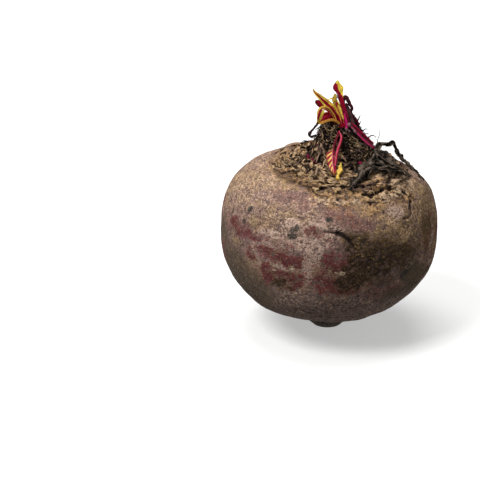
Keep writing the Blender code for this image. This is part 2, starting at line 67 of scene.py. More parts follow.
# Patches of the skin: azimuth in degrees, height, and reach along and up, in mm. Gaps are
# where no crimson shows, and flecked is where it only shows in small flecks.
PATCHES = {
    "crimson": (
        (-154, 54, 3.4, 2.2), (-149, 52, 3.2, 1.8), (-141, 52, 4, 1.6), (-134, 51.8, 3.6, 1.6),
        (-138, 44.8, 2.2, 1.8), (-127, 46.8, 3.6, 2.4), (-117, 46, 6, 3.2), (-110.5, 45.2, 3, 2.6),
        (-129, 40.4, 2.2, 2.2), (-123, 38.2, 4.8, 4), (-114.5, 37.8, 5.6, 4), (-108.5, 36.4, 2.8, 3),
        (-101, 58.6, 4, 1.7), (-91.5, 47.6, 4.4, 3.4), (-86, 45, 6.4, 5.2), (-94, 38, 4.6, 4),
        (-85, 37, 7, 4.2),
    ),
    "gaps": (
        (-101, 46, 2.8, 8), (-125, 49.8, 4, 1), (-117, 42.6, 5, 0.9), (-130, 43.2, 2.6, 1.2),
    ),
    "rose": (
        (-90, 66.2, 4.6, 2), (-82, 65.2, 3.4, 1.6), (-121, 68.4, 6, 1.8), (-108, 68.8, 5, 1.5),
        (-146, 55, 6, 1.8), (-133, 53.5, 5, 1.8), (-120, 50.6, 4, 2), (-163, 51.5, 5, 4),
        (-72, 60.4, 5, 1.8), (-60, 31, 10, 3), (-21, 43, 5, 9), (-92, 54.6, 3, 1.6),
        (-79, 62.5, 4, 1.6),
    ),
    "tan": (
        (-163, 69.5, 14, 6), (-150, 73.5, 12, 3), (-178, 64, 12, 9), (-119, 62, 7, 2.6),
        (-129, 58, 7, 3), (-68, 65.6, 7, 2.2), (-150, 47.5, 5, 2), (-124, 71.6, 6, 2),
        (-138, 73.2, 5, 2),
    ),
    "warm": (
        (-50, 65.4, 7, 3.4), (-61, 63.8, 6, 2.4), (-38, 67, 6, 3.4), (-56, 60, 4, 2.6),
        (-84, 70.6, 8, 1.4), (-47, 54, 3, 2.6),
    ),
    "pale": (
        (-104, 54, 6, 5.6), (-97, 59.6, 8, 3.2), (-112, 59, 4.6, 2.8), (-88, 60.8, 4, 2.2),
        (-102.6, 45, 2.8, 8), (-96, 51.6, 4.5, 2.4), (-132, 47, 3.4, 2.4), (-124, 55.2, 4.6, 2.2),
        (-129, 43, 3.2, 1.8), (-133, 49.6, 3.6, 1.6), (-115, 42.5, 5, 1.2), (-125, 50, 5, 1.8),
        (-114, 52.4, 4, 1.8), (-98.5, 49, 2.6, 5), (-51, 63.4, 4.6, 2.4), (-38, 65.2, 4, 1.6),
    ),
    "olive": (
        (-30, 55, 12, 10), (-45, 54.5, 8, 6), (-18, 52, 14, 14), (-41, 47, 9, 5), (-62, 57.6, 6, 2.8),
        (-40, 62, 5, 2.6), (-127, 72.6, 3.6, 1.2), (-116, 71.4, 3, 0.9), (-66, 51.5, 9, 3),
    ),
    "brown": (
        (-69, 47.4, 11, 5.4), (-53, 45, 8, 4.6), (-76, 44, 6.5, 7), (-80, 38.6, 6.5, 4),
        (-68, 41, 8, 3.4), (-78, 54.5, 6, 4), (-70, 51, 7, 4), (-118, 35, 5, 1.6),
    ),
    # Painted shadow on the low left and right sides, painted into the skin's colour
    "painted_shadow": (
        (-173, 40, 9, 9), (-155, 34, 12, 9), (-142, 29, 13, 7), (-131, 33, 5, 4), (-150, 24, 13, 5),
        (-44, 37, 6, 3.6), (-36, 31, 7, 6), (-50, 28, 7, 3), (-64, 36, 7, 1.4),
    ),
    "flecked": (
        (-136, 49, 14, 6), (-120, 51, 8, 3.4), (-130, 41, 8, 5), (-96, 41, 14, 9), (-84, 63, 9, 3),
        (-70, 36, 10, 4),
    ),
}
SMALL_PATCHES = {
    "spot": (
        (-112.6, 57.2, 1.7, 2.3), (-111, 59, 0.8, 1.6), (-143.2, 61.5, 1.1, 1.1),
        (-145.4, 56.7, 0.9, 1), (-159, 57.4, 0.7, 1.1), (-154, 74.4, 1, 0.8), (-48, 36.8, 1.9, 1.3),
        (-92, 63.6, 1.3, 0.9), (60, 52, 1.6, 1.9), (118, 60, 1.2, 1.5), (171, 48, 1.7, 1.2),
    ),
    "cream": (
        (-121.6, 42.6, 2.2, 0.6), (-120.5, 40.9, 2.4, 0.4), (-112, 43.2, 1.8, 0.9),
        (-116, 30.4, 1.7, 0.5), (-109.6, 31, 1.7, 0.5), (-87, 42.2, 2.8, 0.8), (-90.5, 42.9, 1.6, 0.5),
        (-44, 39.7, 3, 0.5), (20, 47, 2.4, 0.6), (95, 38, 2.8, 0.6), (150, 55, 2, 0.5),
    ),
}

# Routes over the crown that are both cracked and darkened with painted shade
LEFT_HOLLOW = ((-21.4, -9.8, 74.7), (-18.9, -11.4, 76.2), (-16, -10.9, 76), (-13.2, -11.4, 76.6))
LEFT_SLIT = ((-19.9, -16.5, 74.6), (-17.4, -15.6, 74.9), (-15, -17.3, 75.7))
LEFT_FURROW = ((-13.9, -8, 76.7), (-12.3, -11.4, 76.7), (-10.8, -16.2, 77.1), (-9.3, -18.8, 76.5))
FRONT_FURROW = ((-5.9, -30.3, 72.3), (-2.7, -30.4, 73.2), (0.9, -29.8, 73.4), (5, -30.1, 73.5))

# Cracks and furrows: points in mm, then half width and depth in mm
CRACKS = (
    (((-3.4, -43.1, 59.2), (-0.2, -43.2, 58.9), (2.2, -43.3, 58.5)), 0.42, 0.8),
    (((1.6, -43.3, 58.6), (3.2, -43.4, 58), (4.9, -43.5, 57), (6.9, -43.7, 55.3)), 1, 1.2),
    (((6.4, -43.7, 55.8), (7.6, -43.8, 54.4), (8.4, -43.9, 52.9), (8.9, -44.1, 51.8)), 0.62, 0.9),
    (FRONT_FURROW, 0.5, 1.3),
    (((5, -30.1, 73.5), (8.2, -29.7, 73.3), (12, -28.4, 72.9), (15.3, -26.9, 72.7)), 0.4, 1.1),
    (((12.3, -30.9, 70.8), (15.1, -30.7, 70), (18.1, -28.7, 70.4)), 0.6, 1.2),
    (((18.1, -28.7, 70.4), (20.7, -26.6, 70.6), (23.2, -24.6, 70.5), (24.4, -23.6, 70.9)), 0.5, 1.1),
    (((29.2, -21.9, 68.2), (30.9, -21.7, 66.8), (32.4, -22.4, 64.9)), 0.55, 0.8),
    (((32.4, -22.4, 64.9), (32.5, -25.2, 62.5), (32.8, -26.7, 60.4)), 0.5, 0.75),
    (((32.8, -26.7, 60.4), (31.2, -29.1, 59.7), (29.2, -30.6, 60)), 0.5, 0.65),
    (LEFT_HOLLOW, 1.2, 0.6),
    (LEFT_SLIT, 0.9, 0.5),
    (LEFT_FURROW, 0.7, 1.4),
    (((-9.3, -18.8, 76.5), (-7.6, -17.3, 76.6), (-5.5, -15.7, 76.7), (-2.7, -17.3, 76.8)), 0.8, 1.3),
    (((-12.5, -24, 73.8), (-7, -26.6, 74), (0.5, -27.6, 74.2)), 0.4, 1),
    (((-30.9, -26, 23.6), (-27.9, -25.8, 20.3), (-22.5, -28.6, 17.8)), 0.6, 0.5),
    (((-14.5, -38, 23.4), (-7.5, -38, 20.6), (-0.9, -37, 19.4)), 0.6, 0.6),
    (((10.3, -40.3, 25.8), (14.4, -39.6, 27.4), (18.1, -38.6, 28.7)), 0.5, 0.5),
)

# Painted shade along the crown's furrows and cracks and under the withered leaf: points in
# mm, then half width in mm
PAINTED_FURROW_SHADES = (
    (LEFT_HOLLOW, 1.3),
    (LEFT_SLIT, 1),
    (LEFT_FURROW, 1.3),
    (((-6.8, -18.8, 76.3), (-2.8, -20.3, 75.9), (0.5, -20.9, 75.7)), 1.6),
    (FRONT_FURROW, 1.1),
    (((8.2, -29.7, 73.3), (12, -28.4, 72.9), (15.3, -26.9, 72.7)), 1.8),
    (((13.5, -29, 71.6), (18.1, -28, 70.8), (20.7, -26.6, 70.6), (23.8, -24, 70.8)), 0.6),
    (((18.5, -11, 76.2), (24.5, -11, 74.8), (29.5, -11.5, 72.8)), 1.2),
)
# Browner ground on the crown's left
CROWN_SHADES = (
    (((-24, -8, 75.4), (-22.7, -13.8, 74.9), (-19.9, -18.5, 74), (-16.4, -22, 73.2)), 2),
    (((-19, -7, 76.5), (-15, -12, 76.3), (-11, -17, 76.4)), 2.2),
)
# Paler ground on the crown's right
CROWN_LIGHTS = (
    (((25.5, -19.5, 71.5), (28.5, -15, 71), (31, -9, 70.5)), 3.4),
    (((27, -23, 68.5), (30.5, -17, 68), (33, -11, 68)), 2.4),
    (((-9, -34.6, 69.6), (0, -36, 69.8), (9, -35.6, 69.6)), 1.2),
    (((21.5, -29, 68.4), (25, -26.4, 68.3), (28, -23.6, 68.6)), 1.8),
)
CROWN_DAUBS = (("daub", PAINTED_FURROW_SHADES, 45), ("shade", CROWN_SHADES, 47), ("light", CROWN_LIGHTS, 48))

# A blade's midrib from foot to tip: x, y, z and its reach to the left and right, in mm
LEAF_TALL = (
    (6.1, -4.6, 91.3, 0.45, 0.45), (5.8, -4.4, 94.7, 0.5, 0.5), (5.2, -4, 98.5, 0.65, 0.65),
    (4, -3.4, 102, 0.8, 0.9), (3, -2.8, 105, 0.8, 1.7), (2.5, -2.4, 106.8, 1.5, 2.1),
    (2.5, -2, 108.4, 0.9, 1.1), (2.6, -1.7, 109.8, 0.15, 0.15),
)
LEAF_LANCE = (
    (3.7, -5.3, 91.5, 0.7, 0.7), (2.9, -5.6, 94.2, 0.7, 1.1), (1.7, -6, 96.5, 0.8, 1.3),
    (0, -6.4, 99.1, 0.8, 1.4), (-2.1, -6.8, 101.5, 1.2, 1.2), (-4.3, -7.1, 103.8, 1.1, 0.9),
    (-6.2, -7.3, 105.6, 0.7, 0.6), (-7.4, -7.3, 107, 0.3, 0.3), (-7.4, -7.1, 107.9, 0.15, 0.15),
)
LEAF_INNER = (
    (4.6, -2.3, 91.3, 0.6, 0.6), (4.4, -2.5, 94.1, 0.8, 0.7), (3.8, -2.7, 96.8, 1, 0.9),
    (2.6, -2.9, 99.4, 1.1, 0.9), (1.4, -3.2, 101.7, 0.8, 0.8), (1.6, -3.3, 103, 0.7, 0.7),
    (1.6, -3.2, 104.3, 0.3, 0.3),
)
LEAF_SPOON = (
    (3, -0.6, 91.5, 0.4, 0.4), (-0.2, 0.2, 95.1, 0.4, 0.4), (-2.5, 0.5, 97, 0.7, 0.7),
    (-4.4, 0.6, 98.5, 1.2, 1.2), (-5.7, 0.6, 99.7, 1, 1), (-6.2, 0.6, 100.3, 0.3, 0.3),
)
LEAF_ARCH = (
    (2.6, -6.9, 91.2, 0.5, 0.5), (1.3, -7.9, 95.9, 0.5, 0.5), (-0.2, -8.6, 98.4, 0.5, 0.6),
    (-1.5, -9.2, 100.1, 0.5, 0.6), (-3, -9.8, 100.8, 0.6, 0.6), (-4.5, -10.2, 100.4, 0.8, 0.6),
    (-5.4, -10.4, 99.1, 0.9, 0.5), (-5.5, -10.3, 97.1, 0.7, 0.5), (-5.8, -10, 94.3, 0.3, 0.3),
)
LEAF_LOW = (
    (0.9, -4.6, 91.2, 0.5, 0.5), (0.2, -6, 94, 0.7, 0.8), (-0.9, -7, 95.2, 1, 1.5),
    (-2.6, -7.6, 95.3, 1.3, 1.5), (-4, -8, 94.6, 1.1, 0.8), (-4.9, -8.2, 93.9, 0.3, 0.3),
)
LEAF_STRIPED = (
    (2.9, -10.9, 90.4, 0.3, 0.3), (1.4, -13.1, 86.4, 0.3, 0.3), (0.8, -13.9, 84.3, 0.35, 0.3),
    (0.4, -14.8, 82, 1.9, 0.7), (0.4, -16.6, 80.4, 1.8, 0.8), (0.5, -18.2, 78.5, 1.5, 0.8),
    (0.7, -21.4, 77.5, 1, 0.7), (0.8, -24.3, 76.6, 0.3, 0.3),
)

# The blades: stations, the way they face, slot, how much they cup, ripple and fold, and how
# much wider they are to the left and right than the stations say
BLADE_FACING = (0.1, -1.0, 0.35)
BLADES = {
    "leaf_tall": (LEAF_TALL, BLADE_FACING, "leaf_crimson", 0.25, 0.1, 0.0, (1.3, 1.15)),
    "leaf_lance": (LEAF_LANCE, BLADE_FACING, "leaf_yellow", 0.3, 0.15, 0.0, (1.1, 1.25)),
    "leaf_inner": (LEAF_INNER, BLADE_FACING, "leaf_yellow", 0.2, 0.3, 0.4, (1.4, 1.2)),
    "leaf_spoon": (LEAF_SPOON, BLADE_FACING, "leaf_crimson", 0.3, 0.05, 0.0, (1.0, 1.0)),
    "leaf_arch": (LEAF_ARCH, (0.0, -1.0, 0.1), "leaf_yellow", 0.2, 0.1, 0.0, (1.15, 1.0)),
    "leaf_low": (LEAF_LOW, (0.0, -1.0, 0.4), "leaf_crimson", 0.35, 0.1, 0.0, (1.5, 1.5)),
    "leaf_striped": (LEAF_STRIPED, (0.0, 0.7, -0.7), "leaf_yellow", -0.15, 0.0, 0.0, (1.3, 1.5)),
}

# A stalk's middle from foot to tip, and its radius, in mm
LEAF_WILTED = (
    (6.8, -0.6, 91, 0.5), (5.8, -0.6, 95.6, 0.4), (5.2, -0.7, 100.4, 0.5), (5.5, -0.7, 102.3, 0.5),
    (6.4, -0.6, 102, 0.6), (7.2, -0.4, 100.6, 0.6), (8.1, -0.1, 98.7, 0.6), (8.8, 0.2, 96.9, 0.5),
    (8.8, 0.3, 95.7, 0.3),
)
DRY_STALK = (
    (11.6, -3.2, 90.6, 0.9), (10.3, -2.6, 92.8, 0.9), (8.9, -2.2, 94.8, 0.9), (7.7, -1.9, 96.9, 0.7),
    (6.8, -1.7, 98.8, 0.5), (6.4, -1.6, 99.9, 0.3),
)
PETIOLE_RIGHT = (
    (7.6, -7.8, 92.4, 0.4), (9, -8.3, 91, 0.6), (10.9, -8.7, 89.1, 0.78), (13.1, -8.5, 86.7, 0.84),
    (15.4, -8.2, 84.5, 0.84), (17.8, -7.3, 82.4, 0.8),
)
PETIOLE_FRONT = (
    (3.2, -9.5, 90.4, 0.3), (4.1, -12.3, 88.7, 0.55), (3.5, -14, 86.7, 0.65), (2.6, -15.8, 84.7, 0.7),
    (2, -17.5, 82.9, 0.65), (1.6, -19.3, 80.8, 0.6), (1.3, -20.9, 78.9, 0.35),
)
LEAF_BUD = (
    (3.9, -18.2, 79.6, 0.5), (3.6, -19.7, 78.2, 0.8), (3.1, -22.2, 77.3, 1), (2.5, -25.2, 76.8, 0.8),
    (2, -27.8, 76, 0.5),
)
LOOP_STRAND = (
    (-5, -3.6, 92.2, 0.45), (-7.4, -5, 89.5, 0.5), (-8.8, -6, 87.9, 0.55), (-8.7, -6.6, 86.9, 0.45),
    (-7.6, -7, 87.2, 0.4), (-6, -7.2, 87.8, 0.35),
)

# The withered leaf's strips: x, y, z and the reach to the left and right, or one for both
# sides, in mm
WITHERED_BLADE = (
    (18.4, -6.2, 81.2, 0.9, 0.9), (17.8, -9.2, 80.6, 1.6, 1.8), (16.9, -13, 79.4, 1.7, 2),
    (15.4, -16.2, 78.2, 1.7, 1.6), (13.4, -20.5, 77.2, 1.5, 1.3), (11.8, -24.4, 76.2, 0.9, 0.9),
    (10, -28.1, 75.3, 0.5, 0.5), (8, -31.8, 73.9, 0.2, 0.2),
)
WITHERED_ARM = (
    (18.6, -6.6, 81, 1.3), (19.9, -4.5, 82.4, 1.2), (21.9, -3, 82.4, 1), (24.1, -1.6, 81.6, 0.9),
    (25.4, -0.8, 82, 1.1), (26.6, -0.2, 81.8, 1), (27.4, 0, 79.6, 1), (28.5, 0, 77, 1.3),
    (30.6, -0.2, 74.6, 1.5), (33, -1.4, 72.5, 1.1), (35.4, -3.4, 70.8, 1), (37.6, -4.4, 69, 0.9),
    (39.4, -5, 67.2, 0.4),
)
WITHERED_FLAP = (
    (18.2, -8, 80.8, 1.2), (20, -7.4, 79.4, 1.6), (21.9, -7.4, 78, 1.4), (24.2, -9, 77, 0.9),
    (26.9, -8.9, 75.7, 0.3),
)
WITHERED_STRIP = (
    (15, -16.6, 78.2, 0.7), (17.4, -18.4, 77.5, 0.7), (21, -17.6, 76.5, 0.8), (24.1, -16.6, 75.6, 0.6),
    (27.1, -14.9, 74.7, 0.6), (29.8, -12.5, 73.6, 0.3),
)
WITHERED_SHEET = (
    (18.7, -7, 80, 1.2, 1.8), (16.8, -12.5, 78.9, 2.4, 3.2), (14.4, -18.3, 77.3, 2.8, 3.6),
    (11.8, -23.6, 76, 2.4, 3.2), (9, -28.4, 74.5, 1.4, 2), (6.4, -32, 73, 0.3, 0.3),
)
WITHERED_FOLD = (
    (17.6, -8.6, 81.4, 1, 1), (20.4, -9.4, 79.8, 2.2, 2.6), (23.6, -10.8, 77.8, 2.4, 2.8),
    (27.2, -12, 75.8, 1.2, 1.6), (30, -12.6, 74, 0.5, 0.6), (33, -12.8, 71.6, 0.2, 0.2),
)
WITHERED_WEB = (
    (18.2, -8.8, 80.6, 1.2, 1.2), (20, -12.4, 78.6, 2.2, 2.6), (23, -14, 77, 2.4, 2.4),
    (26.6, -14, 75.4, 1.2, 1.2), (29.4, -13.6, 73.8, 0.3, 0.3),
)
WITHERED_BAND = (
    (13.8, -21, 76.6, 0.8), (17.8, -18.6, 76.4, 1.3), (21.4, -14.8, 75.9, 1.1),
    (25.2, -12.8, 74.9, 0.9), (29.4, -12.4, 73.2, 0.7), (32.6, -12.2, 71.3, 0.3),
)

# The strips, the way their faces look, and a seed for each
STRIP_FACING = (0.2, -0.3, 1.0)
WITHERED_STRIPS = (
    (WITHERED_BLADE, STRIP_FACING, 1),
    (WITHERED_ARM, (0.5, -0.6, 0.6), 2),
    (WITHERED_FLAP, STRIP_FACING, 3),
    (WITHERED_STRIP, STRIP_FACING, 4),
    (WITHERED_SHEET, STRIP_FACING, 6),
    (WITHERED_BAND, STRIP_FACING, 7),
    (WITHERED_FOLD, STRIP_FACING, 9),
    (WITHERED_WEB, STRIP_FACING, 11),
)

# Small shoots between the young leaves: their look, then stations as for the stalks
SHOOTS = (
    ("magenta", ((6.2, -8.6, 91, 0.5), (6.4, -7.8, 92.9, 0.5), (5.9, -7.1, 94.9, 0.42),
        (5.3, -6.5, 97, 0.2))),
    ("crimson", ((4.8, -7.4, 92.6, 0.25), (3.8, -7.1, 95.8, 0.3), (2.7, -6.5, 98.8, 0.25),
        (1.9, -5.9, 101.2, 0.15))),
    ("ochre", ((4.4, -7.3, 93.4, 0.25), (3.3, -7.1, 96.6, 0.3), (2.2, -6.6, 99.2, 0.2))),
    ("deep", ((8.4, -7.2, 93, 0.25), (10.2, -7.6, 91.4, 0.45), (12.6, -7.8, 89, 0.5),
        (15, -7.4, 86.6, 0.5), (17.6, -6.8, 84, 0.4))),
    ("deep", ((7.2, -7, 90.6, 0.6), (7, -6, 93.4, 0.6), (6.4, -5.2, 96.2, 0.5),
        (5.9, -4.8, 98.6, 0.3))),
    ("crimson", ((6, -7.2, 90.4, 0.8), (5.6, -6.4, 93.4, 0.8), (5, -5.6, 96.6, 0.5))),
    ("crimson", ((5, -7.2, 90.4, 0.9), (4.2, -6.4, 94, 0.9), (3.4, -5.6, 97.4, 0.7),
        (2.6, -5, 100, 0.4))),
    ("crimson", ((3.6, -7.3, 90.6, 0.9), (1.8, -7.3, 94.1, 0.7), (0.2, -7.2, 96.8, 0.4))),
    ("dark", ((8.2, -5.6, 90.6, 0.9), (7.4, -4.2, 94.4, 0.9), (6.6, -3.2, 97.4, 0.7),
        (5.8, -2.6, 100, 0.4))),
    ("dark", ((9.6, -6.2, 90.4, 0.9), (9, -4.8, 92.7, 0.8), (8.2, -3.6, 95.7, 0.6),
        (7.5, -2.8, 98, 0.3))),
    ("mauve", ((6.2, -7.4, 93.2, 0.35), (7.2, -8, 92.5, 0.75), (8, -8.2, 91.6, 0.5))),
    ("mauve", ((5.8, -8.2, 91.4, 0.4), (6.7, -8.8, 90.4, 0.75), (7.8, -9.2, 89.4, 0.4))),
    ("mauve", ((8.6, -8.6, 91.2, 0.4), (9.6, -9, 90.2, 0.55), (10.4, -9.2, 89, 0.3))),
    ("yellow", ((0.4, -5.4, 101, 0.2), (2.2, -5.7, 98.6, 0.4), (4, -6.1, 95.6, 0.45),
        (5, -6.4, 92.8, 0.3))),
    ("crimson", ((1.6, -5, 102.2, 0.2), (3.3, -5.1, 99.4, 0.35), (4.6, -5.4, 96.2, 0.4),
        (5.4, -5.8, 93, 0.4))),
    ("yellow", ((5.2, -6.6, 92.4, 0.6), (4.2, -6.1, 95.8, 0.8), (3.2, -5.2, 98.8, 0.7),
        (2.6, -4.6, 101.4, 0.4))),
    ("yellow", ((-3.2, -10, 99.6, 0.4), (-4, -10.2, 98.1, 0.65), (-4.5, -10, 96.3, 0.65),
        (-5.2, -9.6, 94.4, 0.45))),
    ("crimson", ((-4, -10.5, 99.9, 0.2), (-5, -10.6, 98.6, 0.45), (-5.4, -10.5, 97, 0.4),
        (-5.6, -10.3, 95.6, 0.2))),
    ("ochre", ((3.4, -7.6, 93, 0.5), (1.5, -8.4, 94.4, 0.6), (-0.4, -9, 95, 0.6),
        (-2.2, -9.4, 94.6, 0.6), (-4.4, -9.6, 93.9, 0.6), (-5.6, -9.6, 94.2, 0.3))),
    ("yellow", ((-1.9, -6.2, 102.5, 0.2), (0, -6, 103.3, 0.25), (1.4, -5.6, 102.4, 0.25),
        (2.4, -5, 101.4, 0.2))),
    ("mauve", ((2.4, -3.6, 104.9, 0.2), (2.5, -3.8, 103.8, 0.4), (2.8, -4, 102.6, 0.35))),
)

# Stray dark hairs and spikes, stations as for the stalks
HAIRS = (
    ((19.4, -4.4, 83.6, 0.16), (19.7, -4, 85.1, 0.15), (20.4, -3.5, 87.1, 0.13), (20.1, -3, 88.8, 0.1)),
    ((8.6, -2.6, 92.4, 0.4), (9.4, -2.3, 93.9, 0.3), (10.2, -2, 95.3, 0.08)),
    ((9.8, -3, 90.8, 0.4), (11.2, -2.4, 92.6, 0.35), (12.3, -2, 94.9, 0.1)),
    ((10.8, -3.4, 89.8, 0.35), (12, -2.6, 91.3, 0.25), (12.8, -2.2, 92.6, 0.06)),
    ((12.6, -4.4, 88, 0.3), (14.4, -4, 89.4, 0.2), (15.4, -3.8, 88.8, 0.08)),
    ((15, -5.4, 85.6, 0.35), (17, -5.2, 87, 0.25), (18.6, -4.8, 86.2, 0.15), (18.9, -4.6, 84.8, 0.08)),
    ((-3.2, -6.2, 91.6, 0.3), (-5, -7.4, 91.2, 0.25), (-6.6, -7.8, 90.2, 0.12)),
    ((-10.7, -21.4, 75.8, 0.4), (-9.3, -20, 77, 0.35), (-7.5, -19, 77.8, 0.25), (-6.1, -18.2, 78, 0.1)),
    ((-9.8, -20.4, 76.7, 0.35), (-10.4, -19, 77.6, 0.25), (-11.1, -18.2, 78, 0.1)),
    ((-9, -3.8, 83.6, 0.25), (-11, -4.4, 84.4, 0.2), (-12.4, -5, 83.6, 0.08)),
    ((-10.6, -2.8, 80.8, 0.3), (-12.8, -3.4, 81.8, 0.22), (-14.4, -4.6, 81, 0.08)),
)

# Buds between the scars: middle in mm, radius in mm, and the way they point
BUDS = (
    ((11.7, -15.9, 78.4), 0.9, (0.3, -0.8, 0.5)), ((-8.9, -8.2, 78.4), 0.75, (0.5, -0.5, -0.6)),
    ((-6.9, -11, 77.9), 0.7, (0.6, -0.6, -0.5)), ((-4.9, -7.6, 83), 0.7, (0.5, -0.6, -0.5)),
)

# Along a bud and its half width there, both as shares of its radius
BUD_STEPS = ((-2.2, 0.4), (-1.1, 0.95), (0.2, 1.05), (1.4, 0.75), (2.6, 0.2))

# Points round the root's meshes, then rows of the belly, of the shoulder and to each crown ring
SKIN_GRID = (480, 84, 62, 6)
CROWN_GRID = (640, 20, 84, 11)
SKIN_ROWS_PAST_SEAM = 8
CROWN_ROWS_PAST_SEAM = 11

# How many are strewn before those that fall in thin places are left out
CROWN_CHIPS = 760
CROWN_FIBRES = 170
NECK_CHIPS = 420
NECK_SCALES = 130
NECK_FIBRES = 950
NECK_LOOPS = 26
TATTERS_A_STRIP = 14

# Photo's view
VIEW_ELEVATION = math.radians(22.0)
VIEW_DISTANCE = 850.0 * MM
PIXEL = 0.424 * MM  # what one pixel of the 480 covers at the beet's middle
FRAME_PIXELS = 480
MIDDLE = Vector((0.0, 0.0, 44.6 * MM))
MIDDLE_PIXEL = (328.5, 226.0)  # where the beet's middle shows
SENSOR_MM = 36.0


# Smooth lumps over space

LATTICE = 48
LUMP_TABLE = np.random.default_rng(5).uniform(-1.0, 1.0, (LATTICE,) * 3)


def lumps(points, size, seed=0):
    """Smooth lumps from -1 to 1 over the points, each about size across."""
    grid = points / np.asarray(size) + 7.31 * (seed + 1)
    cell = np.floor(grid).astype(int)
    t = grid - cell
    t = t * t * t * (t * (6.0 * t - 15.0) + 10.0)
    total = np.zeros(grid.shape[:-1])
    for corner in itertools.product((0, 1), repeat=3):
        share = np.prod(np.where(np.array(corner) == 1, t, 1.0 - t), axis=-1)
        at = (cell + np.array(corner)) % LATTICE
        total += share * LUMP_TABLE[at[..., 0], at[..., 1], at[..., 2]]
    return total


def rough(points, size, octaves=3, seed=0):
    """Lumps with finer lumps on them, each octave half as large and half as high."""
    total = 0.0
    for octave in range(octaves):
        total = total + lumps(points, np.asarray(size) / 2**octave, seed + octave) / 2**octave
    return total


def smooth_step(x, low=0.0, high=1.0):
    x = np.clip((x - low) / (high - low), 0.0, 1.0)
    return x * x * (3.0 - 2.0 * x)


def unit(vectors):
    return vectors / np.maximum(np.linalg.norm(vectors, axis=-1, keepdims=True), 1e-12)


def circle(count):
    """Angles of that many points round a ring."""
    return np.linspace(0.0, 2 * math.pi, count, endpoint=False)


def turned_to(azimuth, middle, low, high):
    """1 on the side that looks towards the middle angle in degrees, 0 away from it."""
    return smooth_step(np.cos(azimuth - math.radians(middle)), low, high)


def shaken(points, size, seeds, octaves=1):
    """Lumps in all three directions, with a seed for each."""
    return np.stack([rough(points, size, octaves, seed) for seed in seeds], axis=-1)


def course(route, facing):
    """At each point of a route: the way along it, the way to its side, and the way out."""
    along = np.gradient(route, axis=0)
    side = unit(np.cross(along, facing))
    return along, side, unit(np.cross(side, along))


# Root, ring by ring


def leant(points):
    """The upper half's lean: a turn about the equator's Y axis."""
    angle = LEAN * smooth_step((points[..., 2] - EQUATOR) / LEAN_REACH)
    x, y, z = points[..., 0], points[..., 1], points[..., 2] - EQUATOR
    turned = (x * np.cos(angle) + z * np.sin(angle), y, z * np.cos(angle) - x * np.sin(angle) + EQUATOR)
    return np.stack(turned, axis=-1)


def lobes(azimuth, height):
    low = smooth_step((EQUATOR - height) / BELLY_DEPTH)
    return (
        0.010 * np.cos(2 * azimuth + 0.5)
        + 0.012 * np.cos(3 * azimuth - 0.9)
        + 0.035 * low * np.cos(azimuth - math.radians(205))
        + 0.006 * np.cos(7 * azimuth + 90.0 * height)
    )


def shoulder_height(radius):
    return EQUATOR + SHOULDER_RISE * (1 - (radius / BODY_RADIUS) ** SHOULDER_POWER) ** (1 / SHOULDER_POWER)


def belly_height(radius):
    return EQUATOR - BELLY_DEPTH * (1 - (radius / BODY_RADIUS) ** BELLY_POWER) ** (1 / BELLY_POWER)


def root_outline(belly_rows, shoulder_rows):
    """(radius, height) of each ring from the middle of the cut end up to the crown's rim."""
    for radius in (0.4, 1.6, 2.8, 4.0):
        yield radius * MM, 0.0
    yield STUB_RADIUS - 1.6 * STUB_EDGE, 0.0
    yield STUB_RADIUS - 0.6 * STUB_EDGE, 0.3 * STUB_EDGE
    start = np.array((STUB_RADIUS, STUB_EDGE))
    end = np.array((BELLY_START, belly_height(BELLY_START)))
    for t in np.arange(0.0, 1.0, 1 / 12):
        yield tuple((1 - t) ** 2 * start + 2 * t * (1 - t) * STUB_FLARE + t**2 * end)
    first = math.asin((BELLY_START / BODY_RADIUS) ** (BELLY_POWER / 2))
    for turn in np.linspace(first, math.pi / 2, belly_rows, endpoint=False):
        radius = BODY_RADIUS * math.sin(turn) ** (2 / BELLY_POWER)
        yield radius, belly_height(radius)
    last = math.asin((CROWN_RADIUS / BODY_RADIUS) ** (SHOULDER_POWER / 2))
    for turn in np.linspace(math.pi / 2, last, shoulder_rows, endpoint=False):
        radius = BODY_RADIUS * math.sin(turn) ** (2 / SHOULDER_POWER)
        yield radius, shoulder_height(radius)


def drift(radius):
    """Sideways shift of a ring's middle towards the crown's own middle."""
    share = smooth_step((BODY_RADIUS - radius) / (BODY_RADIUS - SEAT_RADIUS))
    return np.asarray(share)[..., None] * SEAT_SHIFT


def ringed(radius, azimuth, height):
    """Points at this radius and azimuth about the upright axis."""
    radius, height = np.broadcast_arrays(radius, height)
    azimuth = np.broadcast_to(azimuth, radius.shape)
    return np.stack((radius * np.cos(azimuth), radius * np.sin(azimuth), height), axis=-1)


def body_ring(radius, height, azimuth):
    spread = smooth_step((radius - STUB_RADIUS) / (BODY_RADIUS - STUB_RADIUS))
    r = radius * (1.0 + lobes(azimuth, height) * spread)
    shift = drift(radius) if height > EQUATOR else 0.0
    return leant(ringed(r, azimuth, np.full_like(r, height)) + shift)


def crown_ring(terrace, share, lip, azimuth):
    """One ring of a terrace: share is its place across the terrace, lip its rise in steps."""
    inner = (terrace + share) / TERRACES
    turned = azimuth + 0.5 * terrace
    wander = 0.34 * np.sin(3 * turned + 1.0) + 0.24 * np.sin(5 * turned + 2.3)
    wander = (wander + 0.12 * np.sin(11 * turned + 0.4)) * math.sin(math.pi * inner)
    radius = CROWN_RADIUS - (terrace + share + wander) * (CROWN_RADIUS - SEAT_RADIUS) / TERRACES
    scars = SCARS_IN_OUTER_ROW - terrace
    pad = np.abs(np.sin(0.5 * scars * azimuth + terrace * GOLDEN_ANGLE)) ** 0.6
    height = shoulder_height(radius) + lip * TERRACE_STEP * (0.15 + 0.85 * pad)
    r = radius * (1.0 + lobes(azimuth, height) * (1.0 - inner))
    return leant(ringed(r, azimuth, height) + drift(radius))


def seat_height():
    return shoulder_height(SEAT_RADIUS) + SEAT_LIFT


